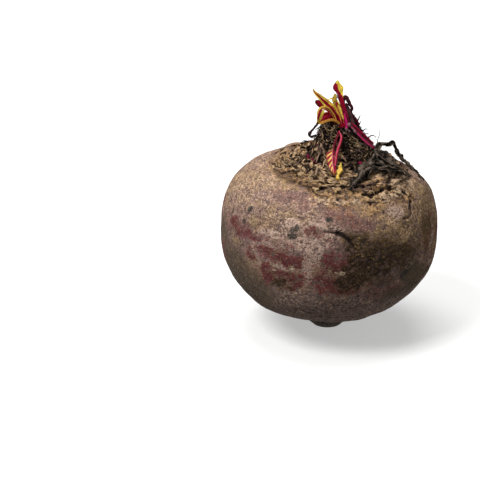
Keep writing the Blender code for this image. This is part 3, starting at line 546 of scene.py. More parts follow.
def seat_ring(radius, azimuth):
    return leant(ringed(np.full_like(azimuth, radius), azimuth, seat_height()) + SEAT_SHIFT)


def between(rings, steps):
    """The rings with evenly spaced ones put in between."""
    fine = []
    for low, high in zip(rings, rings[1:]):
        fine += [low + (high - low) * step / steps for step in range(steps)]
    return fine + [rings[-1]]


def root_rings(sides, belly_rows, shoulder_rows, crown_steps):
    """The whole root's rings, and how many of them lie below the crown."""
    azimuth = circle(sides)
    body = [body_ring(*row, azimuth) for row in root_outline(belly_rows, shoulder_rows)]
    crown = []
    for terrace in range(TERRACES):
        for share, lip in ((0.0, 0.0), (0.14, 1.0), (0.6, 0.55)):
            crown.append(crown_ring(terrace, share, lip, azimuth))
    crown = between(crown + [seat_ring(0.93 * SEAT_RADIUS, azimuth)], crown_steps)
    seat = [seat_ring(share * SEAT_RADIUS, azimuth) for share in (0.7, 0.4, 0.05)]
    return np.array(body + crown + seat), len(body)


def normals_of(rings):
    around = np.roll(rings, -1, axis=1) - np.roll(rings, 1, axis=1)
    up = np.gradient(rings, axis=0)
    return unit(np.cross(around, up))


def patch(points, azimuth, height, along, up):
    """1 in the middle of a patch of the skin, falling to 0 past its reach."""
    turn = math.radians(azimuth)
    x, y = points[..., 0], points[..., 1]
    out = np.hypot(x, y)
    side = (np.arctan2(y, x) - turn + math.pi) % (2 * math.pi) - math.pi
    away = np.hypot(side * out / (along * MM), (points[..., 2] - height * MM) / (up * MM))
    return smooth_step(1.8 - away, 0.0, 1.5)


def patches(points, table):
    return np.max([patch(points, *row) for row in table], axis=0)


def smoothed(rows, per_span=6):
    """Points on a Catmull-Rom curve through rows of numbers."""
    rows = np.asarray(rows, float)
    rows = np.vstack((2 * rows[0] - rows[1], rows, 2 * rows[-1] - rows[-2]))
    curve = []
    for before, start, end, after in zip(rows, rows[1:], rows[2:], rows[3:]):
        for t in np.arange(per_span) / per_span:
            bend = (2 * before - 5 * start + 4 * end - after) * t**2
            twist = (3 * start - before - 3 * end + after) * t**3
            curve.append(0.5 * (2 * start + (end - before) * t + bend + twist))
    return np.array(curve + [rows[-2]])


def away_from(points, stations):
    """Distance of each point from the curve through the stations, which are in mm."""
    route = smoothed(np.array(stations) * MM, 5)
    nearest = np.full(points.shape[:-1], 1.0)
    for start, end in zip(route, route[1:]):
        span = end - start
        t = np.clip(((points - start) @ span) / (span @ span), 0.0, 1.0)
        away = points - start - t[..., None] * span
        nearest = np.minimum(nearest, np.linalg.norm(away, axis=-1))
    return nearest


def around_domain(azimuth, depth, cells, size):
    """Places for lumps that run round the axis without a seam: cells of them in a turn."""
    k = cells / (2 * math.pi)
    return np.stack((k * np.cos(azimuth), k * np.sin(azimuth), depth / size), axis=-1)


def blurred(values, reach):
    """Mean over a square of the grid, wrapping round the axis."""
    total = np.zeros_like(values)
    rows = np.arange(len(values))
    for down in range(-reach, reach + 1):
        line = values[np.clip(rows + down, 0, len(values) - 1)]
        for along in range(-reach, reach + 1):
            total += np.roll(line, along, axis=1)
    return total / (2 * reach + 1) ** 2


class Hide:
    """A fine grid of points over part of the root, its relief and the marks that colour it."""

    def __init__(self, rings, sunk):
        self.base = p = rings
        self.normals = normals_of(rings)
        x, y, z = np.moveaxis(p, -1, 0)
        self.azimuth = np.arctan2(y, x)
        x, y = x - SEAT_SHIFT[0] - math.sin(LEAN) * (z - EQUATOR), y - SEAT_SHIFT[1]
        self.out = np.hypot(x, y)
        self.crown_azimuth = turn = np.arctan2(y, x)
        self.low = smooth_step(z, 34 * MM, 8 * MM)
        edge = 31 * MM + 2.8 * MM * np.cos(turn + math.radians(60))
        edge = edge - 4.5 * MM * turned_to(turn, 10, 0.6, 0.97) + 2.6 * MM * rough(p, 8 * MM, 4, seed=11)
        self.cork = smooth_step(z, 55 * MM, 63 * MM) * smooth_step(edge - self.out, -3.8 * MM, 3.6 * MM)
        reach = 24 * MM + 3.5 * MM * turned_to(turn, -135, 0.0, 0.8)
        self.near_neck = smooth_step(reach - self.out, 0.0, 6 * MM)
        self.gaps = np.zeros_like(z)
        relief = self.skin_relief() * (1 - self.cork) + self.cork_relief() * self.cork
        self.gaps *= smooth_step(self.cork, 0.3, 0.95)
        fallen = turned_to(turn, 25, 0.45, 0.85)
        fallen = fallen * smooth_step(self.out, 15 * MM, 23 * MM) * smooth_step(self.out, 37 * MM, 25 * MM)
        relief -= 2.5 * MM * fallen * smooth_step(z, 58 * MM, 65 * MM)
        self.cracks = self.crack_depth()
        self.relief = (relief - self.cracks) * smooth_step(z, 0.4 * MM, 3 * MM)
        self.points = p + self.normals * (self.relief - sunk)[..., None]

    def skin_relief(self):
        p = self.base
        relief = 0.45 * MM * lumps(p, 15 * MM, 1) + 0.2 * MM * lumps(p, 6 * MM, 2)
        relief += 0.07 * MM * rough(p, 2.4 * MM, 2, seed=3)
        wander = p[..., 2] + 1.6 * MM * lumps(p, 13 * MM, 4)
        folds = around_domain(self.azimuth, wander, 26, 1.7 * MM)
        crease = smooth_step(np.abs(lumps(folds, 1.0, 6)), 0.16, 0.0)
        patchy = smooth_step(lumps(p, 10 * MM, 7), -0.1, 0.5)
        return relief - 0.34 * MM * crease * patchy * (0.25 + 0.75 * self.low)

    def cork_relief(self):
        """Overlapping scales of old leaf scars round the crown, ragged chips by the neck."""
        p, near = self.base, self.near_neck
        azimuth = self.crown_azimuth + 0.05 * rough(p, 7 * MM, 2, seed=20)
        warped = self.out + 1.9 * MM * rough(p, 6 * MM, 3, seed=21)
        relief = 0.5 * MM * lumps(p, 6 * MM, 27) + 0.13 * MM * rough(p, 1.3 * MM, 3, seed=28)
        shoulder = turned_to(self.crown_azimuth, 160, 0.6, 0.95)
        relief -= 1.0 * MM * shoulder * smooth_step(self.out, 18 * MM, 25 * MM)
        # Coarse scales and fine ones: spacing and height in mm, lumps in a turn, seed
        for spacing, high, cells, seed in ((3.6, 0.85, 9, 33), (1.7, 0.38, 23, 35)):
            offset = 1.1 * lumps(around_domain(azimuth, warped, cells, 5 * MM), 1.0, seed)
            scale = (warped / (spacing * MM) + offset) % 1.0
            ragged = smooth_step(lumps(p, 5 * MM, seed + 1), -0.25, 0.35)
            lip = scale**2 * smooth_step(1.0 - scale, 0.0, 0.10)
            relief += high * MM * (lip - 0.3) * (0.25 + 0.75 * ragged) * (1 - 0.6 * near)
            edge = smooth_step(scale, 0.17, 0.0) + smooth_step(scale, 0.93, 1.0)
            self.gaps = np.maximum(self.gaps, edge * ragged * (1 - 0.4 * near))
        chips = rough(around_domain(azimuth, warped, 34, 1.5 * MM), 1.0, 3, seed=25)
        relief += 0.9 * MM * chips * near
        pits = smooth_step(lumps(p, 1.7 * MM, 31), 0.5, 0.75)
        for gap in (near * smooth_step(chips, 0.0, -0.5), 0.35 * pits):
            self.gaps = np.maximum(self.gaps, gap)
        return relief - 0.3 * MM * pits

    def crack_depth(self):
        depth = np.zeros(self.base.shape[:-1])
        wobble = (0.25 + 0.5 * self.cork) * MM * rough(self.base, 2 * MM, 3, seed=41)
        for stations, half, deep in CRACKS:
            away = away_from(self.base, stations)
            reach = half * MM * 1.8
            groove = smooth_step(reach - away - wobble, 0.0, reach)
            depth = np.maximum(depth, np.where(away < 8 * MM, deep * MM * groove, 0.0))
        return depth

    def daubs(self, table, seed):
        """1 along the routes of the table, with a ragged edge."""
        wobble = 1.6 * MM * rough(self.base, 3.5 * MM, 3, seed)
        daub = np.zeros(self.base.shape[:-1])
        for stations, half in table:
            away = away_from(self.base, stations)
            daub = np.maximum(daub, smooth_step(1.6 * half * MM - away - wobble, 0.0, 1.2 * half * MM))
        return daub

    def marks(self):
        p, z = self.base, self.base[..., 2]
        warp = 1.7 * MM * shaken(p, 5 * MM, (51, 61, 71), 4)
        marks = {name: patches(p + warp, rows) for name, rows in PATCHES.items()}
        marks |= {name: patches(p + 0.4 * warp, rows) for name, rows in SMALL_PATCHES.items()}
        marks |= {name: self.daubs(rows, seed) for name, rows, seed in CROWN_DAUBS}
        back = smooth_step(np.abs((np.degrees(self.azimuth) + 100 + 180) % 360 - 180), 62, 80)
        belt = back * (smooth_step(z, 26 * MM, 34 * MM) * smooth_step(z, 60 * MM, 54 * MM))
        upper = 0.9 * (back * smooth_step(z, 50 * MM, 66 * MM))
        # More patches on the back: mark, where, size in mm, seed, and how they fade in
        for name, where, size, seed, low, high in (
            ("crimson", belt, 10, 81, 0.0, 0.5),
            ("pale", belt, 9, 85, 0.05, 0.6),
            ("brown", belt, 11, 89, 0.3, 0.7),
            ("tan", upper, 13, 93, -0.5, 0.4),
        ):
            wild = where * smooth_step(rough(p, size * MM, 3, seed), low, high)
            marks[name] = np.maximum(marks[name], wild)
        crimson = marks["crimson"] * (1 - marks.pop("gaps"))
        marks["crimson"] = np.maximum(crimson, 0.28 * marks.pop("flecked"))
        marks["cork"] = self.cork
        # Cracks, gaps between scales and dips of the relief: the skin paints shade into them
        marks["crack"] = np.clip(self.cracks / (0.9 * MM), 0.0, 1.0) + self.gaps
        marks["hollow"] = np.clip((blurred(self.relief, 3) - self.relief) / (0.3 * MM), -1.0, 1.0)
        return marks


# Meshes


def grid_faces(rows, count):
    """Quads of a closed band whose rings run along it, outward where the rings run so."""
    ring = np.arange(count)
    low = np.arange(rows - 1)[:, None] * count
    a, b = low + ring, low + np.roll(ring, -1)
    return np.stack((a, b, b + count, a + count), axis=-1).reshape(-1, 4).tolist()


def banded(rings):
    """Points and faces of a closed skin over rings of as many points each."""
    rows, count = rings.shape[:2]
    faces = grid_faces(rows, count)
    faces.append(list(range(count))[::-1])
    faces.append(list(range((rows - 1) * count, rows * count)))
    return rings.reshape(-1, 3), faces


def sheet(middle, normal, lift, half):
    """Rings of a thin blade: its upper side and, the other way round, its lower side."""
    upper = middle + normal[:, None] * (lift + half)[..., None]
    lower = middle + normal[:, None] * (lift - half)[..., None]
    return np.concatenate((upper, lower[:, ::-1]), axis=1)


def swept(route, wide, thick, facing, sides=6):
    """A closed strand along a route: wide and thick are its half sizes at each point, and its
    thickness lies along facing."""
    _, side, up = course(route, facing)
    turn = -circle(sides)
    wide = np.broadcast_to(wide, len(route))[:, None, None]
    thick = np.broadcast_to(thick, len(route))[:, None, None]
    ring = side[:, None] * wide * np.cos(turn)[:, None] + up[:, None] * thick * np.sin(turn)[:, None]
    return banded(route[:, None] + ring)


class Heap:
    """Many small closed solids that become one piece, each with its own tone."""

    def __init__(self):
        self.points = []
        self.faces = []
        self.tones = []
        self.count = 0

    def add(self, solid, tone):
        points, faces = solid
        self.points.append(points)
        self.faces += [[corner + self.count for corner in face] for face in faces]
        self.tones.append(np.broadcast_to(tone, len(points)))
        self.count += len(points)

    def piece(self, name, finish, slot, torn=False):
        solid = np.concatenate(self.points), self.faces
        return piece(name, solid, finish, {"tone": np.concatenate(self.tones)}, torn=torn)


def piece(name, solid, finish, marks, replaced=(), torn=False):
    """A finished mesh on the beet's one body. It stands for the replaced nodes, or for the
    node that has its name."""
    points, faces = solid
    mesh = bpy.data.meshes.new(name)
    mesh.from_pydata(np.asarray(points).tolist(), [], faces)
    for mark, values in marks.items():
        layer = mesh.attributes.new(mark, "FLOAT", "POINT")
        layer.data.foreach_set("value", np.asarray(values, np.float32).ravel())
    mesh.materials.append(finish)
    if not torn:
        mesh.shade_smooth()
    made = linked(name, mesh)
    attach(made, "root")
    if name in NODES:
        replaced = (name,)
    if replaced:
        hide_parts(*replaced)
    return made


def linked(name, data):
    """An object that holds the data, in the scene."""
    made = bpy.data.objects.new(name, data)
    bpy.context.scene.collection.objects.link(made)
    return made


# Materials


class Socket:
    """A number that a material's nodes work out. Arithmetic on it adds Math nodes."""

    def __init__(self, finish, socket):
        self.finish = finish
        self.socket = socket

    def math(self, operation, *values):
        return self.finish.node("ShaderNodeMath", {"operation": operation}, dict(enumerate(values)))

    def __add__(self, other):
        return self.math("ADD", self, other)

    def __radd__(self, other):
        return self.math("ADD", other, self)

    def __sub__(self, other):
        return self.math("SUBTRACT", self, other)

    def __rsub__(self, other):
        return self.math("SUBTRACT", other, self)

    def __mul__(self, other):
        return self.math("MULTIPLY", self, other)

    def __rmul__(self, other):
        return self.math("MULTIPLY", other, self)

    def __abs__(self):
        return self.math("ABSOLUTE", self)

    def sine(self):
        return self.math("SINE", self)

    def step(self, low, high):
        """0 below low and 1 above high, or the other way round, with a smooth change between."""
        wires = {"Value": self, "From Min": low, "From Max": high}
        return self.finish.node("ShaderNodeMapRange", {"interpolation_type": "SMOOTHSTEP"}, wires)


class Finish:
    """A material in the making: its Principled surface and the nodes that feed it."""

    def __init__(self, name, roughness, shine=0.5, depth=0.0):
        self.material = bpy.data.materials.new(name)
        self.material.use_nodes = True
        self.tree = self.material.node_tree
        self.surface = self.tree.nodes["Principled BSDF"]
        inputs = {"Roughness": roughness, "Specular IOR Level": shine, "Subsurface Weight": depth}
        for key, value in (inputs | {"Subsurface Scale": 1 * MM}).items():
            self.surface.inputs[key].default_value = value

    def node(self, kind, settings, wires, output=0):
        made = self.tree.nodes.new(kind)
        for setting, value in settings.items():
            setattr(made, setting, value)
        for key, value in wires.items():
            self.feed(made.inputs[key], value)
        return Socket(self, made.outputs[output])

    def feed(self, socket, value):
        if isinstance(value, Socket):
            self.tree.links.new(value.socket, socket)
        elif isinstance(value, tuple) and socket.type == "RGBA":
            socket.default_value = (*value, 1.0)
        else:
            socket.default_value = value

    def mark(self, name):
        """A value that the mesh carries on its points."""
        return self.node("ShaderNodeAttribute", {"attribute_name": name}, {}, "Fac")

    def worn(self, name, blot, low=0.2, high=1.0):
        """A mark's share, with its edge broken up by the blots."""
        mark = self.mark(name)
        return (mark + blot * (mark * 1.5 + 0.1)).step(low, high)

    def place(self, stretch=(1.0, 1.0, 1.0)):
        spot = self.node("ShaderNodeTexCoord", {}, {}, "Object")
        return self.node("ShaderNodeVectorMath", {"operation": "MULTIPLY"}, {0: spot, 1: stretch})

    def axis(self, name):
        return self.node("ShaderNodeSeparateXYZ", {}, {0: self.place()}, name)

    def noise(self, size, detail=2.0, stretch=(1.0, 1.0, 1.0), warp=0.0):
        """Mottling with blotches of this size, mostly from -1 to 1."""
        wires = {
            "Vector": self.place(stretch),
            "Scale": 1.0 / size,
            "Detail": detail,
            "Roughness": 0.6,
            "Distortion": warp,
        }
        return (self.node("ShaderNodeTexNoise", {}, wires, "Fac") - 0.5) * 5.0

    def dots(self, size):
        """Distance from the nearest of many scattered dots, as a share of size."""
        wires = {"Vector": self.place(), "Scale": 1.0 / size}
        return self.node("ShaderNodeTexVoronoi", {}, wires, "Distance")

    def mix(self, share, low, high, blend="MIX"):
        """low where share is 0 and high where it is 1, as colours."""
        settings = {"data_type": "RGBA", "blend_type": blend}
        return self.node("ShaderNodeMix", settings, {0: share, 6: low, 7: high}, 2)

    def layers(self, colour, *over):
        """The colour with others laid over it, each given as its share and its colour."""
        for share, upper in over:
            colour = self.mix(share, colour, upper)
        return colour

    def colour(self, value):
        self.feed(self.surface.inputs["Base Color"], value)

    def bump(self, height, depth):
        wires = {"Strength": 1.0, "Distance": depth, "Height": height}
        self.feed(self.surface.inputs["Normal"], self.node("ShaderNodeBump", {}, wires))


MAUVE = (0.235, 0.150, 0.128)
ROSE = (0.180, 0.088, 0.076)
TAN = (0.290, 0.192, 0.112)
WARM = (0.440, 0.290, 0.160)
PALE = (0.450, 0.312, 0.250)
OLIVE = (0.225, 0.145, 0.068)
CRIMSON = (0.092, 0.018, 0.021)
CRIMSON_LIGHT = (0.180, 0.044, 0.045)
CRIMSON_BROWN = (0.060, 0.028, 0.022)
UMBER = (0.120, 0.074, 0.042)
BROWN = (0.019, 0.012, 0.008)
# Painted shadow for the skin's low sides
PAINTED_SHADOW = (0.066, 0.052, 0.034)
UNDERSIDE = (0.205, 0.144, 0.120)
# Painted shade, greenish, for the bottom of the root
PAINTED_BOTTOM_SHADE = (0.046, 0.056, 0.040)
CORK = (0.310, 0.185, 0.088)
CORK_BROWN = (0.090, 0.050, 0.028)
CORK_CREST = (0.450, 0.295, 0.150)
CORK_PALE = (0.420, 0.300, 0.200)
# Painted shade for cracks, gaps between scales and hollows
PAINTED_CREVICE_SHADE = (0.012, 0.008, 0.007)
CORK_MAUVE = (0.215, 0.145, 0.105)
DUST = (0.600, 0.470, 0.360)
PINK_DUST = (0.330, 0.200, 0.165)
EARTH = (0.046, 0.027, 0.013)
SOIL = (0.200, 0.140, 0.090)
LICHEN = (0.165, 0.105, 0.045)
# Painted shade for the crown's furrows and cracks
PAINTED_FURROW_SHADE = (0.060, 0.036, 0.032)
CREAM = (0.520, 0.430, 0.280)
SPOT = (0.042, 0.038, 0.034)
PORE = (0.035, 0.024, 0.020)

# The dust's patches in the order that they lie over each other: mark, colour, strength
DUST_PATCHES = (
    ("tan", TAN, 0.9),
    ("rose", ROSE, 0.85),
    ("olive", OLIVE, 0.9),
    ("warm", WARM, 0.9),
    ("pale", PALE, 0.85),
)


def skin_finish():
    """Dusty skin: a broken film of mauve and tan dust over crimson, and cork on the crown. Painted
    shadow darkens its low sides and bottom, and painted shade its cracks, furrows and hollows.
    """
    finish = Finish("root_skin", roughness=0.85, shine=0.06)
    noise, mark, worn, layers = finish.noise, finish.mark, finish.worn, finish.layers
    cloud = noise(12 * MM, 3.0)
    mottle = noise(2.8 * MM, 6.0)
    fleck = noise(0.95 * MM, 3.0)
    grain = noise(0.5 * MM, 2.0)
    streak = noise(1.5 * MM, 5.0, (0.4, 0.4, 1.0), 0.8)
    tint = noise(1.9 * MM, 4.0, warp=0.6)
    blot = cloud * 0.2 + mottle * 0.35 + streak * 0.32 + fleck * 0.48 + grain * 0.25
    fine = mottle * 0.28 + streak * 0.42 + fleck * 0.5 + grain * 0.35
    hollow, crimson, brown = mark("hollow"), mark("crimson"), mark("brown")
    height = finish.axis("Z")

    low = (height + (cloud + blot) * (4 * MM)).step(39 * MM, 24 * MM)
    salt = (grain * 0.8 + fleck * 0.7).step(0.2, 1.0) * (mottle - cloud * 0.5).step(-0.7, 0.5)
    film = layers(
        MAUVE,
        ((cloud * 0.7 + tint * 0.5 + mottle * 0.2).step(-0.5, 0.9), TAN),
        (low * 0.92, UNDERSIDE),
        *((strength * worn(name, blot), colour) for name, colour, strength in DUST_PATCHES),
        ((tint * 0.7 - streak * 0.6 + fleck * 0.3).step(0.1, 0.9) * 0.6, ROSE),
        ((streak * 0.6 + tint * 0.5 + grain * 0.3).step(0.2, 1.0) * 0.35, PALE),
        (salt * 0.48, DUST),
        # painted shadow on the low left and right sides
        (worn("painted_shadow", fine * 1.3, 0.15, 1.0) * 0.92, PAINTED_SHADOW),
    )
    under = layers(
        CRIMSON_LIGHT,
        ((crimson * 0.6 + blot).step(0.2, 0.9), CRIMSON),
        ((tint * 0.8 + mottle * 0.4).step(0.1, 0.8) * 0.7, CRIMSON_BROWN),
        ((fleck * 0.6 + grain * 0.6 - tint * 0.2).step(0.25, 0.9) * 0.3, PINK_DUST),
    )
    bright = mark("tan") * 0.4 + cloud * 0.5 + mottle * 0.7 + streak * 0.8 + fleck * 0.6
    cork = layers(
        CORK_BROWN,
        (bright.step(-0.8, 0.8), CORK),
        ((cloud * 0.8 - tint * 0.7 + 0.1).step(0.1, 0.8) * 0.7, CORK_MAUVE),
        # paler on the cork's raised crests: partly its own pale ridges and partly painted highlight
        ((0.0 - hollow).step(0.1, 0.9) * 0.6, CORK_CREST),
    )

    wear = mottle * 0.40 + streak * 0.42 + fleck * 0.48 + grain * 0.3
    bare = crimson * 0.92 + wear * (0.38 + crimson * 1.6)
    earth = finish.mix((mottle * 0.7 + streak * 0.7 + fleck * 0.5).step(-0.1, 0.8), BROWN, EARTH)
    lichen = mottle * 0.9 + streak * 1.1 + fleck * 0.3 + height * 60.0 + finish.axis("X") * 30.0 - 3.5
    speck = (grain * 0.8 + fleck * 0.9 + streak * 0.6).step(0.1, 1.0)
    shaded = brown * 0.4 + mark("painted_shadow") * 0.9 + low * 0.3
    # deep: darker and greener towards the bottom, painted shade
    deep = (height + blot * (5 * MM)).step(17 * MM, 6 * MM)
    cream = mark("cream") * (1.0 + fleck * 1.3 + streak * 0.8)
    spot = mark("spot") * (1.0 + fleck * 1.0 + mottle * 0.8)
    # painted shade along the crown's furrows and cracks and under the withered leaf
    daub = mark("daub") * (1.0 + mottle * 0.5 + fleck * 0.5)
    # dark: cracks, gaps between scales and the cork's hollows, darkened as painted shade
    dark = mark("crack") + hollow.step(0.2, 1.0) * 0.8 * mark("cork")
    skin = layers(
        film,
        (bare.step(0.36, 0.60) * 0.96, under),
        ((brown + mottle * 0.2).step(0.0, 0.9) * 0.5, UMBER),
        (worn("brown", mottle * 0.6 + fine * 1.1, 0.1, 0.9) * 0.94, earth),
        (lichen.step(0.0, 1.0) * brown * 0.85, LICHEN),
        (speck * shaded.step(0.1, 0.9) * 0.34, SOIL),
        (deep * 0.65, PAINTED_BOTTOM_SHADE),
        (cream.step(0.5, 1.1) * 0.65, CREAM),
        (spot.step(0.2, 0.65) * 0.95, SPOT),
        ((mark("cork") * 1.1 + fine * 0.6).step(0.15, 1.0), cork),
        (worn("light", blot) * 0.7, CORK_PALE),
        (worn("shade", blot) * 0.6, CORK_BROWN),
        (daub.step(0.15, 0.9) * 0.8, PAINTED_FURROW_SHADE),
        ((dark + fleck * 0.3).step(0.3, 1.0) * 0.94, PAINTED_CREVICE_SHADE),
    )
    dust = 1.0 + fleck * 0.44 + grain * 0.46 + tint * 0.30 + streak * 0.22 + mottle * 0.14
    skin = finish.mix(1.0, skin, dust.math("MAXIMUM", dust, 0.15), "MULTIPLY")
    pore = finish.dots(2.3 * MM).step(0.17, 0.08) * noise(7 * MM).step(0.1, -0.4)
    finish.colour(finish.mix(pore * 0.7, skin, PORE))
    finish.bump(fleck * 0.15 + grain * 0.1 + mottle * 0.2, 0.6 * MM)
    return finish.material


def dry_finish(name, dark, light, size=1.2 * MM, tint=None):
    """Dry plant stuff whose tone goes by the tone mark of each strand, some of it tinted."""
    finish = Finish(name, roughness=0.88, shine=0.05)
    fleck = finish.noise(size, 3.0)
    if tint:
        light = finish.mix(finish.noise(3.4 * MM, 2.0).step(-0.1, 0.5), light, tint)
    tone = (finish.mark("tone") + fleck * 0.2).step(0.0, 1.0)
    finish.colour(finish.mix(tone, dark, light))
    finish.bump(fleck * 0.2, 0.4 * MM)
    return finish.material


YELLOW = (0.95, 0.755, 0.105)
OCHRE = (0.76, 0.455, 0.055)
ORANGE = (0.60, 0.22, 0.03)
LEAF_CRIMSON = (0.36, 0.003, 0.024)
DEEP_CRIMSON = (0.20, 0.003, 0.010)
MAGENTA = (0.62, 0.010, 0.180)
DARK_PURPLE = (0.050, 0.004, 0.012)

# The small shoots' looks: main colour, darker lines and how strong they are, and roughness
SHOOT_LOOKS = {
    "crimson": (LEAF_CRIMSON, DARK_PURPLE, 0.7),
    "deep": ((0.26, 0.006, 0.030), (0.030, 0.003, 0.008), 1.0),
    "magenta": ((0.50, 0.010, 0.130), (0.16, 0.004, 0.03), 0.7),
    "dark": ((0.090, 0.040, 0.040), (0.010, 0.005, 0.005), 1.0, 0.8),
    "mauve": ((0.22, 0.115, 0.120), (0.03, 0.014, 0.014), 1.0, 0.8),
    "ochre": ((0.66, 0.36, 0.06), (0.34, 0.050, 0.015), 0.9),
    "yellow": (YELLOW, (0.36, 0.080, 0.015), 0.8),
}


class Leaf(Finish):
    """A fresh leaf's surface in the making, with its place across and along the leaf."""

    def __init__(self, name, roughness=0.5, shine=0.1):
        super().__init__(name, roughness, shine, depth=0.04)
        self.across = self.mark("across")
        self.along = self.mark("along")
        self.fleck = self.noise(0.6 * MM, 3.0)
        self.broad = self.noise(1.8 * MM, 3.0)

    def band(self, centre, reach, widen=0.0, fade=0.0):
        """A stripe along the leaf, wider towards the foot and gone at the tip by these shares."""
        reach = reach + self.along.step(0.62, 0.3) * widen - self.along.step(0.80, 0.95) * fade
        away = abs(self.across - centre) + self.fleck * 0.06 + self.broad * 0.05
        return (reach - away).step(-0.1, 0.1)

    def lines(self, count, wander=0.8):
        """Fine lines along the leaf, as many as that across each half."""
        return (self.across * (6.3 * count) + self.broad * wander + self.fleck * 0.3).sine()

    def done(self, *colours, depth=0.2):
        """The material, with these layers of colour."""
        mottle = 1.0 + self.fleck * 0.2 + self.broad * 0.22
        self.colour(self.mix(1.0, self.layers(*colours), mottle, "MULTIPLY"))
        self.bump(self.fleck * 0.2 + self.broad * 0.3, depth * MM)
        return self.material


def ribbed_leaf(name, blade, rib, centre, reach, widen=1.0, fade=0.0, foot=None, edge=OCHRE):
    """A blade with one broad rib along it and fine lines beside it."""
    leaf = Leaf(name)
    colours = [
        blade,
        ((leaf.broad + abs(leaf.across) * 0.6).step(0.1, 0.9) * 0.7, edge),
        (leaf.lines(2.6, 1.4).step(0.1, 0.9) * 0.6, edge),
        (
            leaf.band(centre, reach, widen, fade),
            leaf.mix(leaf.lines(2.2, 1.0).step(0.1, 0.9) * 0.6, rib, DARK_PURPLE),
        ),
    ]
    if foot:
        colours.append(((leaf.along + leaf.broad * 0.06).step(0.32, 0.12) * 0.8, foot))
    return leaf.done(*colours)


def folded_leaf(name, blade, fold, folds):
    """A blade in narrow folds whose valleys have a colour of their own."""
    leaf = Leaf(name)
    return leaf.done(
        blade,
        ((leaf.broad + leaf.fleck * 0.5).step(0.0, 0.8) * 0.7, OCHRE),
        ((leaf.lines(folds) + leaf.fleck * 0.3).step(-0.1, 0.7) * 0.9, fold),
        (leaf.along.step(0.4, 0.05), LEAF_CRIMSON),
        depth=0.4,
    )


def striped_leaf(name):
    """The front leaf: yellow with crimson veins left of its pale rib, crimson right of it."""
    leaf = Leaf(name)
    wave = (leaf.along * 48.0 + leaf.across * 7.0).sine()
    crimson = (0.30, 0.010, 0.040)
    return leaf.done(
        (0.74, 0.50, 0.12),
        ((wave + leaf.fleck * 0.2).step(-0.5, 0.3), crimson),
        (leaf.across.step(-0.12, 0.02), (0.22, 0.005, 0.022)),
        (leaf.band(-0.02, 0.14), (0.52, 0.14, 0.17)),
        ((leaf.across + leaf.fleck * 0.1).step(-0.75, -0.95) * 0.8, crimson),
        (leaf.along.step(0.36, 0.26), (0.15, 0.006, 0.018)),
        (leaf.along.step(0.86, 0.96), (0.22, 0.045, 0.012)),
    )


def fresh_stalk(name, colour, dark, lines, roughness=0.5):
    """A fresh petiole with darker lines along it and a darker back."""
    leaf = Leaf(name, roughness)
    line = leaf.lines(1.3, 1.2) * 0.5 + leaf.broad * 0.5 + leaf.across * 0.4
    return leaf.done(colour, (line.step(-0.2, 0.8) * lines, dark))


def channelled_stalk(name, bright, dark, pale):
    """A petiole with a bright channel between dark edges and a pale line down one side, which is a painted
    highlight.
    """
    leaf = Leaf(name, 0.45, 0.3)
    return leaf.done(
        dark,
        (leaf.band(0.12, 0.36), bright),
        ((leaf.broad + leaf.fleck * 0.5).step(0.1, 0.9) * 0.5, dark),
        # painted highlight: a pale line down one side
        (leaf.band(0.55, 0.10) * 0.45, pale),
    )


# Pieces


def make_root():
    """The skin and, for its finer relief, the crown as a mesh of its own."""
    finish = skin_finish()
    for name, grid, past, fade, replaced in (
        ("root_skin", SKIN_GRID, SKIN_ROWS_PAST_SEAM, -SEAM_FADE, ("root",)),
        ("root_crown", CROWN_GRID, -CROWN_ROWS_PAST_SEAM, SEAM_FADE, ()),
    ):
        rings, body_rows = root_rings(*grid)
        radius = np.hypot(rings[..., 0], rings[..., 1]).mean(axis=1)
        sunk = SEAM_SINK * smooth_step(radius, SEAM_RADIUS, SEAM_RADIUS + fade)
        sunk[: body_rows // 2] = 0.0
        seam = body_rows + past
        part = slice(None, seam) if replaced else slice(seam, None)
        hide = Hide(rings[part], sunk[part, None])
        piece(name, banded(hide.points), finish, hide.marks(), replaced)
    return hide


